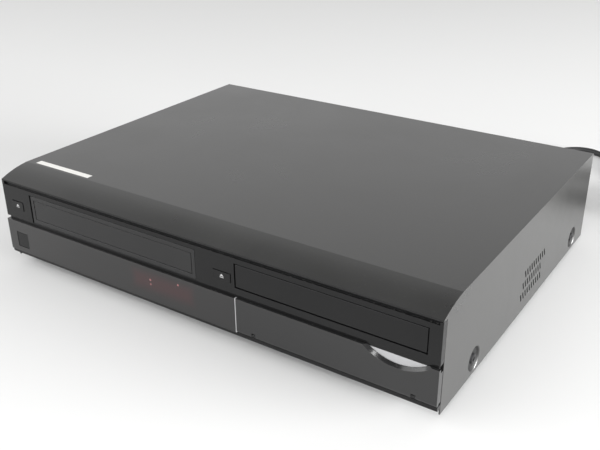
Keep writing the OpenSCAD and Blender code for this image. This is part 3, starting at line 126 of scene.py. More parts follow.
cordLay = {
    "thick": 0.0065,  # metres; the places are in millimetres
    "sides": 4,
    "steps": 5,  # between two points
    "points": [
        (190, 200, 26), (190, 212, 25.4), (190, 222, 22), (189, 232, 16), (187, 242, 9), (184, 252, 4.6),
        (180, 262, 3.4), (172, 278, 3.4), (160, 298, 3.4), (146, 318, 3.4), (132, 338, 3.4), (122, 358, 3.4),
        (119, 377, 3.4), (124, 395, 3.4), (136, 408, 3.4), (151, 413, 3.4), (166, 409, 3.4), (179, 399, 3.4),
        (188, 386, 3.4), (195, 371, 3.4), (207, 357, 3.4), (226, 346, 3.4), (247, 339, 3.4),
    ],
    "coilAt": (262, 290),
    "coilRadii": (44.5, 38.0, 31.5, 31.5, 38.0, 44.5),
    "coilLevels": (3.4, 3.4, 3.4, 9.9, 9.9, 9.9),
    "startAngle": 76,
    "perTurn": 18,
    "shiftFrom": 0.8,  # share of a turn after which it eases over to the next one
    "plugNeck": (306.5, 279, 9.4),
    "plugRear": (306.5, 264.7, 7.6),
}


def easeStep(share):
    return share * share * (3 - 2 * share)


def coilPoints(lay):
    # inwards along the table, up a layer and outwards again, until the tail points at the plug
    made = []
    turns = len(lay["coilRadii"])
    for turn in range(turns):
        after = min(turn + 1, turns - 1)
        for step in range(lay["perTurn"]):
            done = step / lay["perTurn"]
            angle = lay["startAngle"] - 360 * (turn + done)
            if angle < -360 * (turns - 1):
                break
            share = easeStep(max(0.0, (done - lay["shiftFrom"]) / (1 - lay["shiftFrom"])))
            radius = lay["coilRadii"][turn] * (1 - share) + lay["coilRadii"][after] * share
            level = lay["coilLevels"][turn] * (1 - share) + lay["coilLevels"][after] * share
            x = lay["coilAt"][0] + radius * math.cos(math.radians(angle))
            y = lay["coilAt"][1] + radius * math.sin(math.radians(angle))
            made.append((x, y, level))
    return made


def cordCurve(name, points, lay):
    curve = bpy.data.curves.new(name, "CURVE")
    curve.dimensions = "3D"
    curve.bevel_depth = 1.0  # the points' radius is the real one
    curve.bevel_resolution = lay["sides"]
    curve.resolution_u = lay["steps"]
    curve.use_fill_caps = True
    line = curve.splines.new("BEZIER")
    line.bezier_points.add(len(points) - 1)
    for point, at in zip(line.bezier_points, points):
        point.co = at
        point.radius = lay["thick"] / 2
        point.handle_left_type = point.handle_right_type = "AUTO"
    made = bpy.data.objects.new(name, curve)
    bpy.context.collection.objects.link(made)
    return made


def layCord(lay):
    route = lay["points"] + coilPoints(lay) + [lay["plugNeck"], lay["plugRear"]]
    points = [Vector(p) * mm for p in route]
    total = sum((b - a).length for a, b in zip(points, points[1:]))
    return cordCurve("mainsLead", points, lay), points, total


# moulded two-blade plug beside the coil, in millimetres from its front face
mainsPlug = {
    "at": (306.5, 238.7, 7.6),
    # distance behind the face, half width, half height, corner share
    "sections": [
        (0.0, 9.6, 5.8, 0.5), (0.6, 10.6, 6.9, 0.5), (2.0, 10.9, 7.3, 0.55), (7.0, 10.9, 7.3, 0.6),
        (9.0, 10.2, 7.1, 0.65), (10.2, 9.0, 6.4, 0.7), (11.2, 9.3, 6.7, 0.7), (12.6, 8.2, 5.9, 0.75),
        (13.8, 8.6, 6.2, 0.75), (15.2, 7.2, 5.4, 0.8), (16.4, 7.5, 5.6, 0.8), (18.0, 6.0, 4.9, 0.9),
        (20.5, 5.0, 4.5, 1.0), (23.5, 4.3, 4.1, 1.0), (25.9, 3.9, 3.8, 1.0),
    ],
    "around": 32,
    "bladeX": (-6.35, 6.35),
    "bladeLong": 16.9,
    "bladeHigh": 6.2,
    "bladeThick": 1.5,
    "bladeRoot": 0.5,  # how far it reaches into the plug
    "bladeTip": (1.2, 1.4),  # chamfer along and across
    "holeBack": 12.5,
    "holeRadius": 1.5,
    "holeSides": 16,
}


def roundedRing(halfWide, halfHigh, corner, count):
    # squarish oval whose power falls from 8 to an ellipse's 2 as the corner share goes to 1
    power = 2 + 6 * (1 - corner)
    ring = []
    for c, s in arcPoints((0, 0), 1, 360 / count, count):
        x = halfWide * math.copysign(abs(c) ** (2 / power), c)
        z = halfHigh * math.copysign(abs(s) ** (2 / power), s)
        ring.append((x, z))
    return ring


def makePlugBody(plug):
    made = bmesh.new()
    atX, atY, atZ = plug["at"]
    rings = []
    for back, wide, high, corner in plug["sections"]:
        ring = roundedRing(wide, high, corner, plug["around"])
        rings.append([made.verts.new(Vector((atX + x, atY + back, atZ + z)) * mm) for x, z in ring])
    skinRings(made, rings)
    return meshObject("plugBody", made)


def makePlugBlades(plug):
    # each blade is a plate with a chamfered tip and the usual round hole near it
    made = bmesh.new()
    high, half = plug["bladeHigh"] / 2, plug["bladeThick"] / 2
    root, tip = plug["bladeRoot"], -plug["bladeLong"]
    along, across = plug["bladeTip"]
    outline = [
        (root, high), (tip + along, high), (tip, high - across),
        (tip, across - high), (tip + along, -high), (root, -high),
    ]
    sides = plug["holeSides"]
    hole = arcPoints((-plug["holeBack"], 0), plug["holeRadius"], 360 / sides, sides)
    rims = closedRim(0, len(outline)) + closedRim(len(outline), len(hole))
    for x in plug["bladeX"]:
        flats = []
        for side in (x - half, x + half):
            places = [Vector(plug["at"]) + Vector((side, y, z)) for y, z in outline + hole]
            verts = [made.verts.new(place * mm) for place in places]
            edges = [made.edges.new((verts[a], verts[b])) for a, b in rims]
            bmesh.ops.triangle_fill(made, use_beauty=True, edges=edges)
            flats.append(verts)
        left, right = flats
        for a, b in rims:
            made.faces.new((left[a], left[b], right[b], right[a]))
    return meshObject("plugBlades", made, smooth=False)


plugBody = makePlugBody(mainsPlug)
plugBlades = makePlugBlades(mainsPlug)
for piece in (plugBody, plugBlades):
    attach(piece, "case")
    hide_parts("mains_plug")
print("plug made")


# the two moving fronts, in millimetres from the front face
cassetteDoor = {
    "x": (-179.7, 8.2),
    "y": (0.6, 3.1),
    "z": (51.6, 77.4),
    "corner": 0.9,
    "round": 0.4,
    "backChamfer": 0.3,
    "grooveAt": 3.4,
    "grooveWide": 0.9,
    "grooveDeep": 0.6,
    "grooveLip": 0.12,
    "grooveSlant": 0.2,
    "panelBack": 0.15,
    "panelLip": 0.1,
    "axis": (5.2, 82.1),
    "armX": (-180.0, 6.0),
    "armThick": 2.5,
    "armRadius": 1.9,
    "armFoot": 72.7,
    "armOverlap": 0.1,  # into the panel
    # blunted lower corner: before the arm's back edge, above its foot
    "armCorner": ((1.5, 0.0), (0.9, 1.1), (0.0, 1.7)),
    "pinX": ((-183.5, -179.9), (8.4, 12.0)),
    "pinRadius": 1.5,
}
discFront = {
    "x": (47.35, 204.65),
    "y": (0.3, 4.4),
    "z": (57.35, 76.65),
    "corner": 0.8,
    "round": 0.45,
    "backChamfer": 0.3,
}
leastCorner = 0.1  # a corner drawn in never goes quite sharp
roundStep = 18  # degrees between the points of a small corner, arm or pin
edgeStep = 22.5  # degrees between the rings of the rounded front edge


def frontRing(made, setup, inset, y):
    # rounded rectangle across the front, drawn in by inset
    turn = max(setup["corner"] - inset, leastCorner)
    x0, x1 = setup["x"][0] + inset + turn, setup["x"][1] - inset - turn
    z0, z1 = setup["z"][0] + inset + turn, setup["z"][1] - inset - turn
    ring = []
    for corner, start in (((x1, z1), 0), ((x0, z1), 90), ((x0, z0), 180), ((x1, z0), 270)):
        ring += arcPoints(corner, turn, roundStep, 90 // roundStep + 1, start)
    return [made.verts.new(spot(x, y, z)) for x, z in ring]


def addFrontPlate(made, setup):
    # rings of inset and depth: chamfered back edge, rounded front edge, then the groove if there is one
    front, back = setup["y"]
    soft, chamfer = setup["round"], setup["backChamfer"]
    steps = [(chamfer, back), (0.0, back - chamfer)]
    steps += arcPoints((soft, front + soft), soft, edgeStep, round(90 / edgeStep) + 1, 180)
    if "grooveAt" in setup:
        near, far = setup["grooveAt"], setup["grooveAt"] + setup["grooveWide"]
        bottom, panel = front + setup["grooveDeep"], front + setup["panelBack"]
        lip, slant, panelLip = setup["grooveLip"], setup["grooveSlant"], setup["panelLip"]
        steps += [
            (near, front), (near + lip, front + lip), (near + slant, bottom),
            (far - slant, bottom), (far - panelLip, panel + panelLip), (far, panel),
        ]
    skinRings(made, [frontRing(made, setup, inset, y) for inset, y in steps])


def addAcross(made, outline, x0, x1):
    # solid along x from an outline in depth and height
    skinRings(made, [[made.verts.new(spot(x, y, z)) for y, z in outline] for x in (x0, x1)])


def makeCassetteDoor(door):
    made = bmesh.new()
    addFrontPlate(made, door)
    back, foot = door["axis"][0] + door["armRadius"], door["armFoot"]
    arm = [(door["y"][1] - door["armOverlap"], foot)]
    arm += [(back - y, foot + z) for y, z in door["armCorner"]]
    arm += arcPoints(door["axis"], door["armRadius"], roundStep, 180 // roundStep + 1)
    for x in door["armX"]:
        addAcross(made, arm, x, x + door["armThick"])
    pin = arcPoints(door["axis"], door["pinRadius"], roundStep, 360 // roundStep)
    for x0, x1 in door["pinX"]:
        addAcross(made, pin, x0, x1)
    return meshObject("cassetteDoorPanel", made, smooth=False)


def makeDiscFront(front):
    made = bmesh.new()
    addFrontPlate(made, front)
    return meshObject("discTrayFront", made, smooth=False)


cassetteDoorPanel = makeCassetteDoor(cassetteDoor)
discTrayFront = makeDiscFront(discFront)
for piece, body, node in (
    (cassetteDoorPanel, "door", "cassette_door"), (discTrayFront, "tray", "tray_front"),
):
    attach(piece, body)
    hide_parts(node)
print("moving fronts made")


mainsLead, leadPoints, leadLength = layCord(cordLay)
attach(mainsLead, "case")
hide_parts("power_cord", "cord_coil")
print("cord laid, metres:", round(leadLength, 3))


# shader helpers


def newMaterial(name):
    material = bpy.data.materials.new(name)
    material.use_nodes = True
    tree = material.node_tree
    return material, tree, tree.nodes["Principled BSDF"]


def feed(tree, socket, value):
    # linked where the value comes from another node, otherwise fixed
    if isinstance(value, bpy.types.NodeSocket):
        tree.links.new(value, socket)
    else:
        socket.default_value = value


def addNode(tree, kind, *inputs, **values):
    # plain values go to the inputs in order, named ones to the option or the input of that name
    made = tree.nodes.new(kind)
    for key, value in values.items():
        if hasattr(made, key):
            setattr(made, key, value)
        else:
            feed(tree, made.inputs[key.replace("_", " ")], value)
    for socket, value in zip(made.inputs, inputs):
        feed(tree, socket, value)
    return made


def mathOf(tree, operation, *inputs, clamp=False):
    return addNode(tree, "ShaderNodeMath", *inputs, operation=operation, use_clamp=clamp).outputs[0]


def vectorOf(tree, operation, *inputs):
    made = addNode(tree, "ShaderNodeVectorMath", *inputs, operation=operation)
    return made.outputs["Value" if operation in ("DOT_PRODUCT", "LENGTH") else "Vector"]


def axesOf(tree, vector):
    return addNode(tree, "ShaderNodeSeparateXYZ", vector).outputs


def remap(tree, value, source=(0.0, 1.0), target=(0.0, 1.0), **options):
    # from one range to another, held at its ends
    made = addNode(
        tree, "ShaderNodeMapRange", **options, Value=value,
        From_Min=source[0], From_Max=source[1], To_Min=target[0], To_Max=target[1],
    )
    return made.outputs[0]


def objectPlace(tree):
    return addNode(tree, "ShaderNodeTexCoord").outputs["Object"]


def noiseOf(tree, **values):
    return addNode(tree, "ShaderNodeTexNoise", **values).outputs[0]


def mixColours(tree, factor, first, second):
    first, second = ((*c, 1) if isinstance(c, tuple) else c for c in (first, second))
    made = addNode(tree, "ShaderNodeMix", data_type="RGBA", Factor=factor, A=first, B=second)
    return made.outputs["Result"]


def placeGroup(tree, group, **values):
    made = tree.nodes.new("ShaderNodeGroup")
    made.node_tree = group
    for key, value in values.items():
        made.inputs[key].default_value = value
    return made.outputs


number = "NodeSocketFloat"
triple = "NodeSocketVector"


def newGroup(name, takes, gives):
    # takes has a name, kind and start value for each input, gives the names of the outputs
    group = bpy.data.node_groups.new(name, "ShaderNodeTree")
    for label, kind, start in takes:
        socket = group.interface.new_socket(label, in_out="INPUT", socket_type=kind)
        socket.default_value = start
    for label in gives:
        group.interface.new_socket(label, in_out="OUTPUT", socket_type=number)
    return group, group.nodes.new("NodeGroupInput").outputs, group.nodes.new("NodeGroupOutput").inputs


coarseShare = 0.55  # scale of the coarse grain against the fine one
bevelSamples = 4
patchBorder = 0.0003  # metres over which a patch fades out

handlingRanges = {
    "smudge": (0.35, 0.68),
    "specks": (0.6, 0.78),
    "upward": (0.4, 1.0),  # how far the surface faces up
}
wearRanges = {
    "edge": (0.99, 0.86),  # agreement of the flat and the rounded normal
    "breaks": (0.42, 0.6),
}
ejectMark = {
    "colour": (0.55, 0.55, 0.55),
    # below its middle and in its half widths: the triangle's foot, then the bar
    "foot": 0.1,
    "barHalf": 0.2,
    "barDrop": 0.55,
    # how sharply the print ends on the slopes and on the straight edges
    "slopeSharp": 6.0,
    "edgeSharp": 8.0,
}


def makeGrainGroup():
    # fine two-scale grain for moulded plastic, paint and rubber
    group, takes, gives = newGroup("fineGrain", [("Size", number, 900.0)], ["Height"])
    place = objectPlace(group)
    coarseSize = mathOf(group, "MULTIPLY", takes["Size"], coarseShare)
    fine = noiseOf(group, Vector=place, Scale=takes["Size"], Detail=3.0, Roughness=0.6)
    coarse = addNode(group, "ShaderNodeTexVoronoi", feature="SMOOTH_F1", Vector=place, Scale=coarseSize)
    feed(group, gives["Height"], mathOf(group, "ADD", fine, coarse.outputs["Distance"]))
    return group


def makeHandlingGroup(ranges):
    # uneven handling: broad smudges, thin film of dust on what faces up
    group, takes, gives = newGroup(
        "handling", [("Size", number, 9.0), ("Dust", number, 0.5)], ["Smudge", "Dust"]
    )
    place = objectPlace(group)
    broad = noiseOf(group, Vector=place, Scale=takes["Size"], Detail=5.0, Roughness=0.62, Distortion=0.6)
    specks = noiseOf(group, Vector=place, Scale=420.0, Detail=2.0, Roughness=0.7)
    facing = axesOf(group, addNode(group, "ShaderNodeNewGeometry").outputs["Normal"])
    upward = remap(group, facing["Z"], ranges["upward"])
    settled = mathOf(group, "MULTIPLY", upward, remap(group, specks, ranges["specks"]))
    feed(group, gives["Smudge"], remap(group, broad, ranges["smudge"]))
    feed(group, gives["Dust"], mathOf(group, "MULTIPLY", settled, takes["Dust"]))
    return group


def makeWearGroup(ranges):
    # light rubbed line along sharp edges
    group, takes, gives = newGroup(
        "rubbedEdges", [("Width", number, 0.0006), ("Breakup", number, 260.0)], ["Mask"]
    )
    rounded = addNode(group, "ShaderNodeBevel", samples=bevelSamples, Radius=takes["Width"]).outputs[0]
    flat = addNode(group, "ShaderNodeNewGeometry").outputs["Normal"]
    edge = remap(group, vectorOf(group, "DOT_PRODUCT", rounded, flat), ranges["edge"])
    breaks = noiseOf(group, Vector=objectPlace(group), Scale=takes["Breakup"], Detail=4.0, Roughness=0.7)
    feed(group, gives["Mask"], mathOf(group, "MULTIPLY", edge, remap(group, breaks, ranges["breaks"])))
    return group


def makeStrokeGroup():
    # long fine strokes of rolled, brushed or turned metal
    group, takes, gives = newGroup(
        "rolledStrokes", [("Along", triple, (1.0, 1.0, 1.0)), ("Size", number, 60.0)], ["Stroke"]
    )
    stretched = vectorOf(group, "MULTIPLY", objectPlace(group), takes["Along"])
    stroke = noiseOf(group, Vector=stretched, Scale=takes["Size"], Detail=6.0, Roughness=0.7)
    feed(group, gives["Stroke"], stroke)
    return group


def makePatchGroup():
    # 1 inside an upright box, falling to 0 over a thin border
    nowhere = (0.0, 0.0, 0.0)
    group, takes, gives = newGroup(
        "patchBox",
        [("Low", triple, nowhere), ("High", triple, nowhere), ("Soft", number, patchBorder)],
        ["Mask"],
    )
    place = objectPlace(group)
    fromLow = vectorOf(group, "SUBTRACT", place, takes["Low"])
    toHigh = vectorOf(group, "SUBTRACT", takes["High"], place)
    inside = axesOf(group, vectorOf(group, "MINIMUM", fromLow, toHigh))
    least = mathOf(group, "MINIMUM", mathOf(group, "MINIMUM", inside["X"], inside["Y"]), inside["Z"])
    feed(group, gives["Mask"], mathOf(group, "DIVIDE", least, takes["Soft"], clamp=True))
    return group


def makeEjectGroup(mark):
    # plain triangle over a bar, printed on a face that looks to the front
    group, takes, gives = newGroup(
        "ejectMark", [("Centre", triple, (0.0, 0.0, 0.0)), ("Size", number, 0.0012)], ["Mask"]
    )

    def step(operation, *inputs, clamp=False):
        return mathOf(group, operation, *inputs, clamp=clamp)

    away = axesOf(group, vectorOf(group, "SUBTRACT", objectPlace(group), takes["Centre"]))
    wide = step("DIVIDE", step("ABSOLUTE", away["X"]), takes["Size"])
    high = step("DIVIDE", away["Z"], takes["Size"])
    underSlope = step("SUBTRACT", 1.0, step("ADD", wide, high))
    slope = step("MULTIPLY", underSlope, mark["slopeSharp"], clamp=True)
    foot = step("MULTIPLY", step("ADD", high, mark["foot"]), mark["edgeSharp"], clamp=True)
    fromBar = step("ABSOLUTE", step("ADD", high, mark["barDrop"]))
    barHigh = step("MULTIPLY", step("SUBTRACT", mark["barHalf"], fromBar), mark["edgeSharp"], clamp=True)
    barWide = step("MULTIPLY", step("SUBTRACT", 1.0, wide), mark["edgeSharp"], clamp=True)
    both = step("MAXIMUM", step("MULTIPLY", slope, foot), step("MULTIPLY", barHigh, barWide))
    feed(group, gives["Mask"], both)
    return group


grainGroup = makeGrainGroup()
handlingGroup = makeHandlingGroup(handlingRanges)
wearGroup = makeWearGroup(wearRanges)
strokeGroup = makeStrokeGroup()
patchGroup = makePatchGroup()
ejectGroup = makeEjectGroup(ejectMark)
print("shader groups ready")


def addBump(tree, shader, height, look):
    made = addNode(tree, "ShaderNodeBump", Strength=look["bump"], Distance=look["bumpDepth"], Height=height)
    if look["round"]:
        # catches a thin highlight on every edge, as a moulded or folded one does
        rounded = addNode(tree, "ShaderNodeBevel", samples=bevelSamples, Radius=look["round"])
        feed(tree, made.inputs["Normal"], rounded.outputs[0])
    feed(tree, shader.inputs["Normal"], made.outputs[0])


def wornAndDusty(tree, base, dust, look):
    rubbed = placeGroup(tree, wearGroup, Width=look["edge"])["Mask"]
    worn = mixColours(tree, remap(tree, rubbed, target=(0.0, look["wear"])), base, look["rubbed"])
    return mixColours(tree, dust, worn, look["dustColour"])


def blendInto(tree, socket, mask, value):
    # the new value inside the mask, what the socket had before outside it
    before = socket.links[0].from_socket if socket.links else socket.default_value
    if isinstance(value, tuple):
        made = mixColours(tree, mask, before, value)
    else:
        mixed = addNode(tree, "ShaderNodeMix", data_type="FLOAT", Factor=mask, A=before, B=value)
        made = mixed.outputs["Result"]
    feed(tree, socket, made)


def paintPatches(tree, shader, patches):
    # differently coloured places of one piece: a box in millimetres, its colour, roughness and metal
    for patch in patches:
        low, high = (spot(*corner) for corner in patch["box"])
        soft = patch.get("soft", patchBorder)
        mask = placeGroup(tree, patchGroup, Low=low, High=high, Soft=soft)["Mask"]
        for label, key in (("Base Color", "colour"), ("Roughness", "rough"), ("Metallic", "metal")):
            if key in patch:
                blendInto(tree, shader.inputs[label], mask, patch[key])


def printMarks(tree, shader, marks):
    # each mark has its middle and its half width in millimetres
    for at, size in marks:
        mask = placeGroup(tree, ejectGroup, Centre=spot(*at), Size=size * mm)["Mask"]
        blendInto(tree, shader.inputs["Base Color"], mask, ejectMark["colour"])


# dark and light are the two ends of the colour, rubbed the worn edges, smooth and rough the roughness;
# lengths are in metres, but boxes and marks in millimetres from the front face
solidShared = {
    "smudgeSize": 9.0, "dust": 0.4, "dustColour": (0.3, 0.3, 0.29), "edge": 0.0005, "wear": 0.35,
    "ior": 1.5, "coat": 0.0, "coatRough": 0.1, "bumpDepth": 0.0001, "round": 0.0, "patches": [], "marks": [],
}
metalShared = {
    "strokeSize": 700.0, "along": (0.06, 1.0, 1.0), "dust": 0.3, "dustColour": (0.32, 0.31, 0.3),
    "edge": 0.0004, "wear": 0.5, "bump": 0.08, "bumpDepth": 0.0001, "round": 0.0,
}


# plastic, paint and rubber share one build: grain, smudges, dust and rubbed edges
def solidFinish(name, own):
    look = {**solidShared, **own}
    material, tree, shader = newMaterial(name)
    handling = placeGroup(tree, handlingGroup, Size=look["smudgeSize"], Dust=look["dust"])
    base = mixColours(tree, handling["Smudge"], look["dark"], look["light"])
    feed(tree, shader.inputs["Base Color"], wornAndDusty(tree, base, handling["Dust"], look))
    rough = remap(tree, handling["Smudge"], target=(look["smooth"], look["rough"]))
    feed(tree, shader.inputs["Roughness"], rough)
    shader.inputs["IOR"].default_value = look["ior"]
    shader.inputs["Coat Weight"].default_value = look["coat"]
    shader.inputs["Coat Roughness"].default_value = look["coatRough"]
    addBump(tree, shader, placeGroup(tree, grainGroup, Size=look["grainSize"])["Height"], look)
    paintPatches(tree, shader, look["patches"])
    printMarks(tree, shader, look["marks"])
    return material


# rolled, brushed or turned metal
def metalFinish(name, own):
    look = {**metalShared, **own}
    material, tree, shader = newMaterial(name)
    stroke = placeGroup(tree, strokeGroup, Along=look["along"], Size=look["strokeSize"])["Stroke"]
    dust = placeGroup(tree, handlingGroup, Dust=look["dust"])["Dust"]
    base = mixColours(tree, stroke, look["dark"], look["light"])
    feed(tree, shader.inputs["Base Color"], wornAndDusty(tree, base, dust, look))
    feed(tree, shader.inputs["Roughness"], remap(tree, stroke, target=(look["smooth"], look["rough"])))
    shader.inputs["Metallic"].default_value = 1.0
    addBump(tree, shader, stroke, look)
    return material


# pressed dimples round the cover's side screws, where shade is painted
screwDimples = {
    "x": ((205, 214.7), (-214.7, -205)),
    "y": ((48, 76), (276, 308)),
    "z": (6, 36),
}


def dimpleBoxes(dimples):
    low, high = dimples["z"]
    return [((x0, y0, low), (x1, y1, high)) for x0, x1 in dimples["x"] for y0, y1 in dimples["y"]]


def alike(boxes, **look):
    return [{"box": box, **look} for box in boxes]


# coloured collars of the sound and video sockets: rows on the rear, side by side behind the flap
socketCollars = {
    "colours": ((0.42, 0.012, 0.01), (0.7, 0.7, 0.66), (0.62, 0.42, 0.015)),  # red, white, yellow
    "rearX": (-146, -27),
    "rearY": (328.8, 350),
    "rearZ": (39, 53, 67),
    "rearHigh": 12,
    "frontX": (110, 94, 78),
    "frontWide": 12.5,
    "frontY": (-3, 6.3),
    "frontZ": (23, 36),
}


def collarPatches(collars):
    made = []
    (left, right), (inner, outer) = collars["rearX"], collars["rearY"]
    (near, far), (low, high) = collars["frontY"], collars["frontZ"]
    for colour, z, x in zip(collars["colours"], collars["rearZ"], collars["frontX"]):
        rear = ((left, inner, z), (right, outer, z + collars["rearHigh"]))
        behindFlap = ((x, near, low), (x + collars["frontWide"], far, high))
        made += alike([rear, behindFlap], colour=colour)
    return made


# black of the chips, also the painted shade in the transformer's groove
chipBlackAndGrooveShade = (0.012, 0.012, 0.012)
capBlue = (0.012, 0.016, 0.045)
finishes = {
    "cover_steel": {
        "dark": (0.028, 0.028, 0.0275), "light": (0.034, 0.034, 0.0332), "rubbed": (0.14, 0.14, 0.136),
        "smooth": 0.27, "rough": 0.33, "grainSize": 2600.0, "bump": 0.035, "dust": 0.05, "wear": 0.2,
        "ior": 1.6, "round": 0.0003,
        "patches": [
            # blank white strip stuck on the top near its left front corner
            {"box": ((-205, 31.5, 92.6), (-138, 38, 94)), "colour": (0.78, 0.77, 0.74), "rough": 0.55},
            # painted shade on the lip over the front: darkened to near black and made dull
            {
                "box": ((-217, -2, 83), (217, 0.5, 86.2)), "colour": (0.003, 0.003, 0.003), "rough": 0.85,
                "soft": 0.0002,
            },
            # painted shade in the dimples: darker, dull and partly metallic, so their walls stay dark
            *alike(dimpleBoxes(screwDimples), colour=(0.02, 0.02, 0.02), rough=0.6, metal=0.7),
        ],
    },
    "door_satin": {
        "dark": (0.01, 0.01, 0.0104), "light": (0.013, 0.013, 0.0134), "rubbed": (0.1, 0.1, 0.1),
        "smooth": 0.2, "rough": 0.28, "grainSize": 1800.0, "bump": 0.05, "dust": 0.25, "edge": 0.0004,
        "ior": 1.46,
    },
    "front_plastic": {
        "dark": (0.0065, 0.0065, 0.0068), "light": (0.009, 0.009, 0.0093), "rubbed": (0.1, 0.1, 0.1),
        "smooth": 0.17, "rough": 0.24, "grainSize": 1800.0, "bump": 0.04, "dust": 0.25, "edge": 0.0004,
        "ior": 1.34, "round": 0.00025,
        "marks": [((-197.3, 0, 64), 2.0), ((35, 0, 63.4), 2.0)],
    },
    "window_plastic": {
        "dark": (0.0085, 0.008, 0.0082), "light": (0.011, 0.0102, 0.0106), "rubbed": (0.1, 0.1, 0.1),
        "smooth": 0.05, "rough": 0.09, "grainSize": 600.0, "bump": 0.01, "dust": 0.3, "coat": 0.35,
        "round": 0.0004,
        # painted light of the lit display behind the smoked window: a soft dull red glow with its two colon
        # dots and one more, painted as lit dots
        "patches": [
            {"box": ((-62, -9, 24), (8, 9, 46)), "colour": (0.033, 0.0088, 0.01), "soft": 0.009},
            {"box": ((-41, -9, 36), (-39, 9, 38)), "colour": (0.3, 0.12, 0.12), "soft": 0.0004},
            {"box": ((-41, -9, 32), (-39, 9, 34)), "colour": (0.2, 0.08, 0.08), "soft": 0.0004},
            {"box": ((-11, -9, 40.5), (-9, 9, 42.5)), "colour": (0.3, 0.12, 0.12), "soft": 0.0004},
        ],
    },
    "flap_gloss": {
        "dark": (0.011, 0.011, 0.0114), "light": (0.014, 0.014, 0.0144), "rubbed": (0.1, 0.1, 0.1),
        "smooth": 0.1, "rough": 0.15, "grainSize": 1200.0, "bump": 0.02, "dust": 0.25, "edge": 0.0004,
        "coat": 0.25, "round": 0.0004,
    },
    "foot_rubber": {
        "dark": (0.018, 0.018, 0.018), "light": (0.026, 0.026, 0.026), "rubbed": (0.09, 0.09, 0.09),
        "smooth": 0.55, "rough": 0.75, "grainSize": 700.0, "bump": 0.3,
    },
    "silver_trim": {
        "dark": (0.4, 0.4, 0.408), "light": (0.49, 0.49, 0.498), "rubbed": (0.6, 0.6, 0.6),
        "smooth": 0.16, "rough": 0.24, "grainSize": 2200.0, "bump": 0.04, "dust": 0.2,
    },
    "circuit_board": {
        "dark": (0.012, 0.09, 0.035), "light": (0.02, 0.13, 0.05), "rubbed": (0.3, 0.3, 0.2),
        "smooth": 0.25, "rough": 0.4, "grainSize": 400.0, "bump": 0.12,
        "patches": [
            # chips, capacitors and card slots on the main and the digital board
            *alike(
                [
                    ((-97, 271, 35.7), (-71, 297, 39)), ((-41, 269, 35.7), (-21, 289, 39)),
                    ((89, 99, 17.7), (119, 129, 21)), ((139, 109, 17.7), (157, 127, 21)),
                ],
                colour=chipBlackAndGrooveShade, rough=0.45,
            ),
            *alike(
                [
                    ((-155, 270, 35.7), (-137, 280, 60)), ((-64, 270, 35.7), (-56, 280, 60)),
                    ((0, 270, 35.7), (18, 280, 60)), ((92, 144, 17.7), (120, 156, 30)),
                ],
                colour=capBlue, rough=0.3,
            ),
            {"box": ((80, 58, 17.7), (170, 74, 22)), "colour": (0.62, 0.6, 0.52), "rough": 0.4},
        ],
    },
    "power_board": {
        "dark": (0.32, 0.21, 0.08), "light": (0.42, 0.29, 0.12), "rubbed": (0.5, 0.4, 0.25),
        "smooth": 0.45, "rough": 0.6, "grainSize": 500.0, "bump": 0.2,
        "patches": [
            # transformer with painted shade in the groove at its foot, capacitors, a dark block and the
            # finned heat sink
            {"box": ((117, 225, 17.8), (153, 257, 60)), "colour": (0.55, 0.36, 0.05), "rough": 0.35},
            # painted shade: the groove at the transformer's foot darkened to black
            {"box": ((116, 229, 17.8), (154, 235, 23)), "colour": chipBlackAndGrooveShade, "rough": 0.4},
            *alike(
                [
                    ((71, 231, 17.8), (89, 271, 60)), ((91, 271, 17.8), (109, 289, 60)),
                    ((164, 209, 17.8), (188, 221, 60)), ((170, 274, 17.8), (182, 286, 60)),
                ],
                colour=capBlue, rough=0.25,
            ),
            {"box": ((183, 255, 17.8), (201, 281, 60)), "colour": (0.12, 0.12, 0.12), "rough": 0.4},
            {
                "box": ((97, 203, 17.8), (134, 221, 60)), "colour": (0.62, 0.63, 0.64), "rough": 0.3,
                "metal": 1.0,
            },
        ],
    },
    "dark_plastic": {
        "dark": (0.018, 0.018, 0.019), "light": (0.026, 0.026, 0.027), "rubbed": (0.1, 0.1, 0.1),
        "smooth": 0.38, "rough": 0.5, "grainSize": 1200.0, "bump": 0.2,
        "patches": collarPatches(socketCollars),
    },
    "grey_plastic": {
        "dark": (0.17, 0.17, 0.18), "light": (0.21, 0.21, 0.22), "rubbed": (0.35, 0.35, 0.35),
        "smooth": 0.4, "rough": 0.55, "grainSize": 1200.0, "bump": 0.2,
    },
    "white_plastic": {
        "dark": (0.62, 0.62, 0.58), "light": (0.72, 0.72, 0.68), "rubbed": (0.8, 0.8, 0.78),
        "smooth": 0.35, "rough": 0.48, "grainSize": 1200.0, "bump": 0.12,
    },
    "belt_rubber": {
        "dark": (0.014, 0.014, 0.014), "light": (0.022, 0.022, 0.022), "rubbed": (0.06, 0.06, 0.06),
        "smooth": 0.5, "rough": 0.7, "grainSize": 900.0, "bump": 0.25,
    },
    "cord_rubber": {
        "dark": (0.014, 0.014, 0.0145), "light": (0.022, 0.022, 0.0225), "rubbed": (0.07, 0.07, 0.07),
        "smooth": 0.42, "rough": 0.55, "grainSize": 1100.0, "bump": 0.18,
    },
}
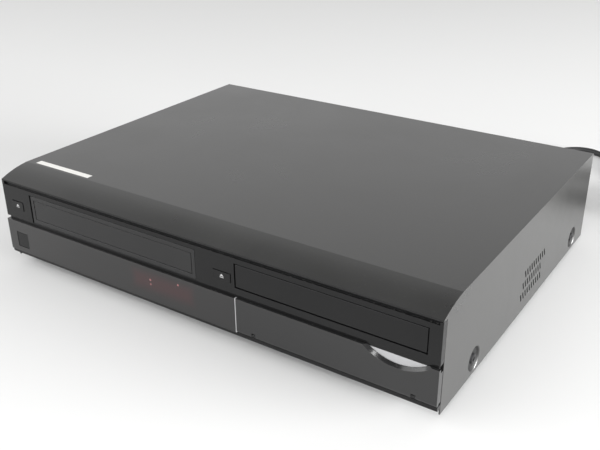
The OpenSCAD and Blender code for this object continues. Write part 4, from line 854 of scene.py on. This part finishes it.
metals = {
    "screw_steel": {
        "dark": (0.035, 0.035, 0.037), "light": (0.06, 0.06, 0.062), "rubbed": (0.3, 0.3, 0.3),
        "smooth": 0.36, "rough": 0.5, "along": (1.0, 1.0, 1.0),
    },
    "zinc_steel": {
        "dark": (0.5, 0.51, 0.52), "light": (0.64, 0.65, 0.66), "rubbed": (0.78, 0.78, 0.78),
        "smooth": 0.28, "rough": 0.42,
    },
    "motor_steel": {
        "dark": (0.45, 0.45, 0.46), "light": (0.6, 0.6, 0.61), "rubbed": (0.75, 0.75, 0.75),
        "smooth": 0.22, "rough": 0.36, "along": (1.0, 1.0, 0.06),
    },
    "bright_steel": {
        "dark": (0.68, 0.68, 0.7), "light": (0.78, 0.78, 0.8), "rubbed": (0.85, 0.85, 0.85),
        "smooth": 0.08, "rough": 0.16, "along": (1.0, 1.0, 0.05),
    },
    "brass": {
        "dark": (0.62, 0.45, 0.18), "light": (0.74, 0.57, 0.27), "rubbed": (0.85, 0.7, 0.4),
        "smooth": 0.16, "rough": 0.28, "along": (1.0, 1.0, 0.08),
    },
    "deck_steel": {
        "dark": (0.58, 0.53, 0.38), "light": (0.7, 0.66, 0.5), "rubbed": (0.8, 0.78, 0.7),
        "smooth": 0.26, "rough": 0.4,
    },
    "drum_aluminium": {
        "dark": (0.66, 0.67, 0.68), "light": (0.8, 0.81, 0.82), "rubbed": (0.9, 0.9, 0.9),
        "smooth": 0.14, "rough": 0.26, "along": (0.5, 0.5, 3.0),
    },
    "disk_case": {
        "dark": (0.48, 0.49, 0.5), "light": (0.6, 0.61, 0.62), "rubbed": (0.75, 0.75, 0.76),
        "smooth": 0.3, "rough": 0.45,
    },
}


def makeFinishes():
    made = {name: solidFinish(name, look) for name, look in finishes.items()}
    made.update({name: metalFinish(name, look) for name, look in metals.items()})
    return made


finishOf = makeFinishes()
for part in frame["record"]["subparts"]:
    piece = nodes[part["node"]]
    piece.data.materials.clear()
    piece.data.materials.append(finishOf[part["material_slot"]])
nodes["front_flap"].data.materials[0] = finishOf["flap_gloss"]
for piece, finish in (
    (mainsLead, "cord_rubber"), (plugBody, "cord_rubber"), (plugBlades, "brass"),
    (cassetteDoorPanel, "door_satin"), (discTrayFront, "front_plastic"),
):
    piece.data.materials.append(finishOf[finish])
print("finishes ready:", len(finishOf))


# floor and light, in metres

studio = {
    "floorReach": 8,
    "floorColour": (0.77, 0.77, 0.766),
    "floorTint": 1.02,  # how much brighter its brightest places are
    "floorGrain": 30.0,
    "floorRough": 0.85,
    "floorFade": (1.9, 4.2),  # it fades into the backdrop well outside the camera's view
    "ambient": 0.53,
    "horizon": 0.95,
    "zenith": 0.22,
    "fallOff": (0.42, 0.82),  # heights between which the backdrop goes from horizon to zenith
    "aim": (0.0, 0.0, 0.04),
    "lamps": [
        # name, place, size, power
        ("overhead", (1.5, -0.6, 1.9), (1.6, 1.6), 6.0),
        ("rightSide", (2.8, 0.5, 0.38), (2.0, 0.5), 205.0),
        ("leftFront", (-1.3, -1.8, 1.3), (3.6, 2.0), 49.0),
        ("nearCamera", (0.56, -1.45, 1.55), (0.6, 0.35), 8.0),
    ],
}


def makeFloor(setup):
    reach = setup["floorReach"]
    mesh = bpy.data.meshes.new("floor")
    corners = [(-reach, -reach, 0), (reach, -reach, 0), (reach, reach, 0), (-reach, reach, 0)]
    mesh.from_pydata(corners, [], [(0, 1, 2, 3)])
    floor = bpy.data.objects.new("floor", mesh)
    bpy.context.collection.objects.link(floor)
    material, tree, shader = newMaterial("floor")
    grain = noiseOf(tree, Scale=setup["floorGrain"], Detail=4.0)
    bright = tuple(c * setup["floorTint"] for c in setup["floorColour"])
    feed(tree, shader.inputs["Base Color"], mixColours(tree, grain, setup["floorColour"], bright))
    shader.inputs["Roughness"].default_value = setup["floorRough"]
    away = vectorOf(tree, "LENGTH", addNode(tree, "ShaderNodeNewGeometry").outputs["Position"])
    fade = remap(tree, away, setup["floorFade"], interpolation_type="SMOOTHSTEP")
    clear = addNode(tree, "ShaderNodeBsdfTransparent")
    either = addNode(tree, "ShaderNodeMixShader", fade, shader.outputs[0], clear.outputs[0])
    feed(tree, tree.nodes["Material Output"].inputs["Surface"], either.outputs[0])
    mesh.materials.append(material)


def makeBackdrop(setup):
    # an even light for the object, and a white backdrop to look at that falls off to a dim ceiling
    world = bpy.data.worlds.new("studio")
    bpy.context.scene.world = world
    world.use_nodes = True
    tree = world.node_tree
    tree.nodes.clear()
    white = (1, 1, 1, 1)
    height = axesOf(tree, addNode(tree, "ShaderNodeTexCoord").outputs["Generated"])["Z"]
    strength = remap(tree, height, setup["fallOff"], (setup["horizon"], setup["zenith"]))
    light = addNode(tree, "ShaderNodeBackground", Color=white, Strength=setup["ambient"])
    seen = addNode(tree, "ShaderNodeBackground", Color=white, Strength=strength)
    rays = addNode(tree, "ShaderNodeLightPath").outputs
    looked = mathOf(tree, "MAXIMUM", rays["Is Camera Ray"], rays["Is Glossy Ray"])
    looked = mathOf(tree, "MAXIMUM", looked, rays["Is Transmission Ray"])
    choose = addNode(tree, "ShaderNodeMixShader", looked, light.outputs[0], seen.outputs[0])
    addNode(tree, "ShaderNodeOutputWorld", Surface=choose.outputs[0])


def makeLamps(setup):
    for name, place, size, power in setup["lamps"]:
        lamp = bpy.data.lights.new(name, "AREA")
        lamp.shape = "RECTANGLE"
        lamp.size, lamp.size_y = size
        lamp.energy = power
        holder = bpy.data.objects.new(name, lamp)
        holder.location = place
        holder.rotation_mode = "QUATERNION"
        holder.rotation_quaternion = (Vector(setup["aim"]) - Vector(place)).to_track_quat("-Z", "Y")
        bpy.context.collection.objects.link(holder)


makeFloor(studio)
makeBackdrop(studio)
makeLamps(studio)
bpy.context.scene.view_settings.view_transform = "Standard"
print("studio ready")
